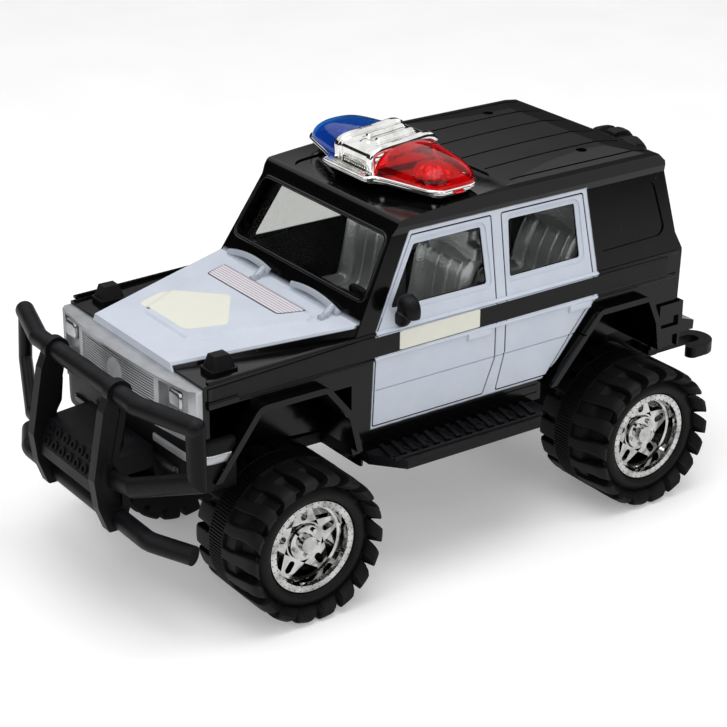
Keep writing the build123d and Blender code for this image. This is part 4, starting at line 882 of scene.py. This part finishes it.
def step_ribs(side):
    """Slanting ribs across a running board, between two thin edge beads."""
    up = (0, 0, 1)
    lines = (straight((side * 49.6, y, 57.5), (side * 64.6, y - 3.0, 57.5), 5)
             for y in np.arange(-37.0, 38.0, 5.6))
    ribs = [strip_along(line, up, 2.3, 0.9, 0.4, True) for line in lines]
    edges = [strip_along(straight((side * x, front, z), (side * x, rear, z), 6), up, 1.2, 0.8, 0.4)
             for x, front, rear, z in ((48.2, -43.0, 40.0, 57.5), (66.2, -40.5, 36.5, 57.4))]
    return joined(*ribs, *edges)


def wiper_bars():
    """Two bars at the foot of the windscreen, each with an arm over its pivot and a foot on the cowl."""
    parts = []
    for start, end, pivot in (((-44.4, -48.9, 113.8), (-12.0, -49.4, 115.4), -14.4),
                              ((4.4, -48.9, 115.0), (39.0, -49.4, 113.6), 36.3)):
        bar = straight(start, end, 16, (0, 0.4, 2.0))
        arm = straight((pivot - 0.5, -50.0, 116.4), (pivot + 0.4, -54.6, 113.6), 8)
        foot = straight((pivot + 0.5, -53.6, 113.0), (pivot + 0.9, -57.4, 112.9), 8)
        parts += [strip_along(bar, (0, -0.9, 0.44), 2.6, 0.9, 0.5, True),
                  strip_along(arm, (0, -0.5, 0.86), 2.6, 1.2, 0.6), strip_along(foot, (0, 0, 1), 2.8, 1.5, 0.6)]
    return joined(*parts)


# ---------------------------------------------------------------- settings

def colour(name, description, code):
    """A colour setting, from its default in sRGB hex."""
    return FloatVectorProperty(name=name, description=description, subtype="COLOR", size=4, min=0, max=1,
                               default=linear(code))


class StageSettings(bpy.types.PropertyGroup):
    """Camera and light."""
    focal: FloatProperty(name="Focal length", description="Camera focal length on a 36 mm sensor", default=103.35,
                         unit="CAMERA")
    key: FloatProperty(name="Key light", description="Power of the large top light, in watts", default=5.0)
    fill: FloatProperty(name="Sky light", description="Brightness of the room for lighting", default=0.62)


class PaintSettings(bpy.types.PropertyGroup):
    """Body colours."""
    shell: colour("Shell", "Colour of the moulded shell", "#050506")
    paint: colour("Sprayed paint", "Colour of doors and hood", "#C8CFDA")
    overspray: FloatProperty(name="Overspray", description="Width of the paint's soft edge, in millimetres",
                             default=0.45)


class TyreSettings(bpy.types.PropertyGroup):
    """Tyre tread."""
    lugs: IntProperty(name="Lugs", description="Lugs round each tyre", default=18, min=6)
    ribs: IntProperty(name="Ribs", description="Fine ribs to each lug, a multiple of four", default=8, min=4,
                      step=4)
    rib_depth: FloatProperty(name="Rib depth", description="Depth of the fine ribs, in millimetres", default=0.6)
    rubber: colour("Rubber", "Tyre colour", "#101011")


class TrimSettings(bpy.types.PropertyGroup):
    """Matt black, silver and chrome parts."""
    black: colour("Matt black", "Colour of matt plastic", "#0C0C0E")
    chrome: colour("Chrome", "Colour of the plated parts", "#C2C2C1")
    rivets: IntProperty(name="Rivets", description="Rivets round each wheel's flange", default=40, min=8)


class StickerSettings(bpy.types.PropertyGroup):
    """Stickers."""
    stripe: colour("Stripe", "Colour of the side stripe", "#141313")
    cream: colour("Label", "Colour of the blank labels", "#DDDDD2")
    thickness: FloatProperty(name="Thickness", description="Sticker thickness, in millimetres", default=0.12)


class CabinSettings(bpy.types.PropertyGroup):
    """Cabin and lenses."""
    seats: colour("Seats", "Colour of the seats", "#E4E6E8")
    glass: colour("Glazing", "Tint of the clear sheets", "#D6D7D5")
    blue: colour("Blue lens", "Dye of the right lens", "#2873C6")
    red: colour("Red lens", "Dye of the left lens", "#E3232D")


GROUPS = {"toycar_stage": StageSettings, "toycar_paint": PaintSettings, "toycar_tyre": TyreSettings,
          "toycar_trim": TrimSettings, "toycar_sticker": StickerSettings, "toycar_cabin": CabinSettings}


# ---------------------------------------------------------------- operators

# where the lamps aim, and each lamp: its place and the width of its disc in metres, and its share of the power
AIM_M = (0, 0, 0.08)
LAMPS = (("top_light", (0.1, -0.1, 1.1), 0.9, 1.0), ("side_light", (1.1, 0.1, 0.55), 0.7, 0.30),
         ("front_light", (0.15, -1.2, 0.6), 0.7, 0.36), ("left_spark", (0.9, -0.75, 1.0), 0.16, 0.12),
         ("rear_spark", (0.55, 1.0, 0.9), 0.16, 0.12))
# the camera's place in metres, and its azimuth, elevation and roll in degrees
CAMERA_PLACE_M = (0.6722, -0.4859, 0.4325)
CAMERA_ANGLES = (54.66, 23.88, 0.42)
FLOOR_HALF = 3000.0
SKIRT_R, SKIRT_FOOT, SKIRT_TOP = 1500.0, 2.0, 800.0


def white_room(scene, fill):
    """A white room: full white to the eye and in reflections, and fill as a light on the car."""
    world = scene.world or bpy.data.worlds.new("white_room")
    scene.world = world
    world.use_nodes = True
    world.node_tree.nodes.clear()
    node = partial(add, world.node_tree)
    node("OutputWorld", node("Background", (1, 1, 1, 1), node("Mix", Factor=seen_rays(node), A=fill, B=1.0)))


def sweep_floor():
    """The pale paper floor, which glows a little to the eye so that it meets the room without an edge."""
    paper, node, coords = begin("white_sweep_paper")
    tone = patches(node, coords, 60.0, linear("#F1F1F1"), linear("#F6F6F6"))[1]
    finish(paper, node, Base_Color=tone, Roughness=0.9, Emission_Color=(1, 1, 1, 1),
           Emission_Strength=node("Math", seen_rays(node), 0.22, **TIMES))
    corners = np.array(((-1, -1, 0), (1, -1, 0), (1, 1, 0), (-1, 1, 0))) * FLOOR_HALF
    placed("floor", corners, np.arange(4)[None], paper)


def cloth_skirt():
    """Black cloth round the set: it stands in reflections only, and gives gloss and chrome their dark lines."""
    black, node, coords = begin("black_studio_cloth")
    tone = patches(node, coords, 4.0, linear("#0A0A0A"), linear("#141414"))[1]
    finish(black, node, Base_Color=tone, Roughness=0.9)
    turn = np.linspace(0, math.tau, 65)[:-1]
    low, high = (np.column_stack([SKIRT_R * np.cos(turn), SKIRT_R * np.sin(turn), 0 * turn + height])
                 for height in (SKIRT_FOOT, SKIRT_TOP))
    skirt = placed("skirt", np.vstack([low, high]), quads(2, 64, close_cols=True), black)
    skirt.visible_camera = skirt.visible_diffuse = skirt.visible_transmission = skirt.visible_shadow = False


def lamps(scene, key):
    """Round soft lamps, all aimed at the middle of the car."""
    for name, place, size, share in LAMPS:
        lamp = bpy.data.lights.new(name, "AREA")
        lamp.shape = "DISK"
        lamp.size = size
        lamp.energy = key * share
        holder = bpy.data.objects.new(name, lamp)
        holder.location = place
        holder.rotation_euler = (Vector(AIM_M) - Vector(place)).to_track_quat("-Z", "Y").to_euler()
        scene.collection.objects.link(holder)


def camera(scene, focal):
    """The camera, turned by azimuth and elevation and then rolled about its own axis."""
    azimuth, elevation, roll = (math.radians(angle) for angle in CAMERA_ANGLES)
    back = Vector((math.sin(azimuth) * math.cos(elevation), -math.cos(azimuth) * math.cos(elevation),
                   math.sin(elevation)))
    right = Vector((math.cos(azimuth), math.sin(azimuth), 0))
    up = back.cross(right)
    turned_right = right * math.cos(roll) + up * math.sin(roll)
    turned_up = up * math.cos(roll) - right * math.sin(roll)
    view = bpy.data.cameras.new("camera")
    view.sensor_width = 36.0
    view.lens = focal
    view.clip_start = 0.01
    scene.camera = bpy.data.objects.new("camera", view)
    turn = Matrix((turned_right, turned_up, back)).transposed().to_4x4()
    scene.camera.matrix_world = Matrix.Translation(CAMERA_PLACE_M) @ turn
    scene.collection.objects.link(scene.camera)


class TOYCAR_OT_stage(bpy.types.Operator):
    """Pale floor, white room, soft lamps and the camera."""
    bl_idname = "toycar.stage"
    bl_label = "Build Stage"

    def execute(self, context):
        scene, settings = context.scene, context.scene.toycar_stage
        scene.view_settings.view_transform = "Standard"
        white_room(scene, settings.fill)
        sweep_floor()
        cloth_skirt()
        lamps(scene, settings.key)
        camera(scene, settings.focal)
        return {"FINISHED"}


class TOYCAR_OT_shell(bpy.types.Operator):
    """Sprayed gloss shell and rear bumper."""
    bl_idname = "toycar.shell"
    bl_label = "Finish Shell"

    def execute(self, context):
        settings = context.scene.toycar_paint
        dress(sprayed_abs(tuple(settings.paint), tuple(settings.shell), settings.overspray), "body_shell",
              "rear_bumper")
        return {"FINISHED"}


# rings of rivets on a wheel's flange: name, radius of the ring and radius of a rivet
RIVET_RINGS = (("outer", 19.0, 0.36), ("inner", 17.3, 0.3))
RIVET_HEIGHT, FLANGE_X = 0.35, 69.5


class TOYCAR_OT_trim(bpy.types.Operator):
    """Matt black, silver, chrome and steel parts, and the rivets of the wheels."""
    bl_idname = "toycar.trim"
    bl_label = "Finish Trim"

    def execute(self, context):
        settings = context.scene.toycar_trim
        dress(textured_polypropylene(tuple(settings.black)), "bull_bar", "left_turn_lamp", "right_turn_lamp",
              "left_running_board", "right_running_board", "tow_hooks", "chassis", "interior_tub", "dashboard",
              "steering_wheel", "friction_motor")
        dress(silver_sprayed_abs(), "grille_panel", "front_crossmember")
        dress(drawn_steel(), "front_axle", "rear_axle")
        chrome = vacuum_chrome("vacuum_chrome_abs", tuple(settings.chrome), linear("#8E8D8A"))
        dress(chrome, "spare_rim", *(f"{wheel}_rim" for wheel in WHEELS))
        dress(vacuum_chrome("satin_lamp_chrome", linear("#B9BBBD"), linear("#A2A4A6"), 0.26), "left_headlamp",
              "right_headlamp")
        for wheel in WHEELS:
            side, middle, body = wheel_place(wheel)
            for ring, ring_r, stud_r in RIVET_RINGS:
                points, faces = studs(settings.rivets, ring_r, stud_r, RIVET_HEIGHT, FLANGE_X)
                points = points * (side, side, 1) + middle
                piece(f"{wheel}_{ring}_rivets", (points, faces), chrome, 60, body)
        return {"FINISHED"}


class TOYCAR_OT_tyres(bpy.types.Operator):
    """Treaded tyres in place of the plain ones."""
    bl_idname = "toycar.tyres"
    bl_label = "Build Tyres"

    def execute(self, context):
        settings = context.scene.toycar_tyre
        rubber = pvc_rubber(tuple(settings.rubber))
        shape, faces = treaded_tyre(ROAD_ROWS, RIB_ROWS, settings.lugs, settings.ribs, settings.rib_depth)
        for wheel in WHEELS:
            side, middle, body = wheel_place(wheel)
            points = shape * (side, side, 1) + middle
            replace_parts(piece(f"{wheel}_treaded_tyre", (points, faces), rubber, body=body),
                        f"{wheel}_tyre")
        points, faces = treaded_tyre(SPARE_ROWS, (), settings.lugs, 4, 0.0)
        low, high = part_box("spare_tyre")
        points = points[..., [2, 0, 1]] + (0, low[1] / MM, (low[2] + high[2]) / 2 / MM)
        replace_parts(piece("spare_treaded_tyre", (points, faces), rubber), "spare_tyre")
        dress(rubber, "spare_tyre", *(f"{wheel}_tyre" for wheel in WHEELS))
        return {"FINISHED"}


# stickers on the belt as (y, z), how far out the belt's face is, and stickers on the hood as (x, y)
STRIPE = ((-117.0, 97.2), (116.0, 99.2), (116.0, 107.2), (-44.0, 106.2), (-117.0, 103.2))
DOOR_LABEL = ((-29.5, 98.3), (11.3, 98.7), (11.3, 106.7), (-29.5, 106.3))
BELT_FACE_X = 53.5
HOOD_LABEL = ((-26.5, -103.4), (-30.0, -90.5), (-5.5, -72.0), (17.4, -87.6), (9.6, -103.2))
VENT = ((-31.5, -68.0), (-34.5, -57.3), (28.4, -57.3), (23.0, -68.2))
VENT_MARGIN = ((0.6, 0.45), (0.6, -0.45), (-0.6, -0.45), (-0.6, 0.45))


class TOYCAR_OT_stickers(bpy.types.Operator):
    """Side stripes, blank labels and the vent print."""
    bl_idname = "toycar.stickers"
    bl_label = "Build Stickers"

    def execute(self, context):
        settings = context.scene.toycar_sticker
        thick = settings.thickness
        dark = printed_vinyl("dark_stripe_vinyl", tuple(settings.stripe), linear("#100F0F"))
        cream = printed_vinyl("cream_label_vinyl", tuple(settings.cream), linear("#E0DFD3"))
        edge = printed_vinyl("vent_outline_vinyl", linear("#55505A"), linear("#4B4750"))
        vent_inside = np.array(VENT) + np.array(VENT_MARGIN)
        # name, outline with its corner radius and spacing, rings, thickness, place and ink of each sticker
        stickers = []
        for side, name in SIDES:
            belt = beside(side, BELT_FACE_X)
            stickers += [(f"{name}_stripe", (STRIPE, 0.3), 6, thick, belt, dark),
                         (f"{name}_label", (DOOR_LABEL, 0.3), 3, thick * 2, belt, cream)]
        stickers += [("hood_label", (HOOD_LABEL, 2.6, 0.8), 26, thick, on_hood, cream),
                     ("hood_vent_outline", (VENT, 1.4), 3, thick, on_hood, edge),
                     ("hood_vent_print", (vent_inside, 1.2), 3, thick * 2, on_hood, vent_print())]
        for name, outline, rings, depth, place, ink in stickers:
            piece(name, sticker(rounded_outline(*outline), rings, depth, place), ink)
        return {"FINISHED"}


# seats: how thick the cushions of each row are, and how far each seat's middle is to the side
SQUABS = (("front", 14.0), ("rear", 4.0))
SEAT_X = 25.0


class TOYCAR_OT_cabin(bpy.types.Operator):
    """Seats, clear glazing, the tail lamps, and the dye of the lenses' plain forms."""
    bl_idname = "toycar.cabin"
    bl_label = "Finish Cabin"

    def execute(self, context):
        settings = context.scene.toycar_cabin
        pearl = pearl_abs(tuple(settings.seats))
        for row, squab in SQUABS:
            for side, side_name in SIDES:
                name = f"{row}_{side_name}_seat"
                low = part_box(name)[0] / MM
                x_mid, y_front = side * SEAT_X, low[1] + 1.0
                seat = moulded_seat(x_mid, y_front, low[2], squab)
                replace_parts(piece(f"{name}_bucket", seat, pearl, 50), name)
                piece(f"{name}_head_rest", head_rest(x_mid, y_front), pearl, 50)
                dress(pearl, name)
        dress(clear_polystyrene("clear_polystyrene_sheet", tuple(settings.glass), Roughness=0.02, IOR=1.1,
                                Specular_IOR_Level=0.1, Transmission_Weight=1.0),
              "windscreen", "left_side_glass", "right_side_glass", "rear_window")
        dress(tinted_lens("blue_dyed_sheet", tuple(settings.blue)), "blue_lens")
        dress(tinted_lens("red_dyed_sheet", tuple(settings.red)), "red_lens")
        dress(tinted_lens("tail_dyed_polystyrene", linear("#C01822")), "left_tail_lamp", "right_tail_lamp")
        return {"FINISHED"}


class TOYCAR_OT_light_bar(bpy.types.Operator):
    """Chromed tray and arch with two coloured lenses."""
    bl_idname = "toycar.light_bar"
    bl_label = "Build Light Bar"

    def execute(self, context):
        settings = context.scene.toycar_cabin
        chrome = vacuum_chrome("vacuum_chrome_light_bar", linear("#F0F0EE"), linear("#D2D1CE"))
        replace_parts(piece("light_bar_tray", light_bar_tray(), chrome, 50), "light_bar_base")
        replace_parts(piece("light_bar_arch", light_bar_arch(), chrome, 50), "light_bar_cover")
        piece("light_bar_slits", light_bar_slits(), chrome, 50)
        for name, side, dye in (("blue", -1, tuple(settings.blue)), ("red", 1, tuple(settings.red))):
            lens = tinted_lens(f"{name}_dyed_polystyrene", dye)
            piece(f"{name}_arch_wall", arch_wall(side), chrome, 50)
            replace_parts(piece(f"{name}_beacon", beacon(side), chrome, 60), f"{name}_reflector")
            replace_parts(piece(f"{name}_domed_lens", domed_lens(side), lens, 60), f"{name}_lens")
            piece(f"{name}_lens_tab", lens_tab(side), lens, 50)
        dress(chrome, "blue_reflector", "red_reflector", "light_bar_base", "light_bar_cover")
        return {"FINISHED"}


class TOYCAR_OT_mouldings(bpy.types.Operator):
    """Front beam, guard plates, gasket, belt beads, arch liners, handles, step ribs, mirror and wipers."""
    bl_idname = "toycar.mouldings"
    bl_label = "Build Mouldings"

    def execute(self, context):
        shell, black, silver = (bpy.data.materials[name] for name in (
            "sprayed_gloss_abs", "textured_polypropylene", "silver_sprayed_abs"))
        beam, strips = front_beam()
        piece("front_beam", beam, black, 40)
        piece("front_beam_strips", strips, silver, 40)
        piece("guard_plates", joined(*(guard_plate(side) for side, name in SIDES)), black, 40)
        piece("windscreen_gasket", windscreen_gasket(), shell, 50)
        for side, name in SIDES:
            piece(f"{name}_belt_beads", belt_beads(side), shell, 40)
            piece(f"{name}_arch_liner", arch_liner(side), shell, 40)
            piece(f"{name}_front_well_wall", well_wall(side), shell, 40)
            piece(f"{name}_door_handles", door_handles(side), shell, 40)
            piece(f"{name}_step_ribs", step_ribs(side), black, 40)
        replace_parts(piece("left_mirror_cap", left_mirror(), black, 50), "left_mirror")
        clear = clear_polystyrene("clear_polystyrene_wiper", linear("#C3C9D1"), Roughness=0.16, IOR=1.45,
                                  Transmission_Weight=0.45)
        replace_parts(piece("wiper_bars", wiper_bars(), clear, 40), "wipers")
        dress(clear, "wipers")
        return {"FINISHED"}


OPERATORS = (TOYCAR_OT_stage, TOYCAR_OT_shell, TOYCAR_OT_trim, TOYCAR_OT_tyres, TOYCAR_OT_stickers,
             TOYCAR_OT_cabin, TOYCAR_OT_light_bar, TOYCAR_OT_mouldings)


class TOYCAR_PT_panel(bpy.types.Panel):
    """Settings and steps of the toy car."""
    bl_idname = "TOYCAR_PT_panel"
    bl_label = "Toy Car"
    bl_space_type = "VIEW_3D"
    bl_region_type = "UI"
    bl_category = "Toy Car"

    def draw(self, context):
        for name, group in GROUPS.items():
            box = self.layout.box()
            box.label(text=group.__doc__)
            for key in group.__annotations__:
                box.prop(getattr(context.scene, name), key)
        for step in OPERATORS:
            self.layout.operator(step.bl_idname)


def register():
    for cls in (*GROUPS.values(), *OPERATORS, TOYCAR_PT_panel):
        bpy.utils.register_class(cls)
    for name, group in GROUPS.items():
        setattr(bpy.types.Scene, name, PointerProperty(type=group))


def unregister():
    for name in GROUPS:
        delattr(bpy.types.Scene, name)
    for cls in reversed((*GROUPS.values(), *OPERATORS, TOYCAR_PT_panel)):
        bpy.utils.unregister_class(cls)


def main():
    """Registers the add-on and runs its steps in order."""
    register()
    for step in OPERATORS:
        prefix, action = step.bl_idname.split(".")
        getattr(getattr(bpy.ops, prefix), action)()


if __name__ == "__main__":
    main()
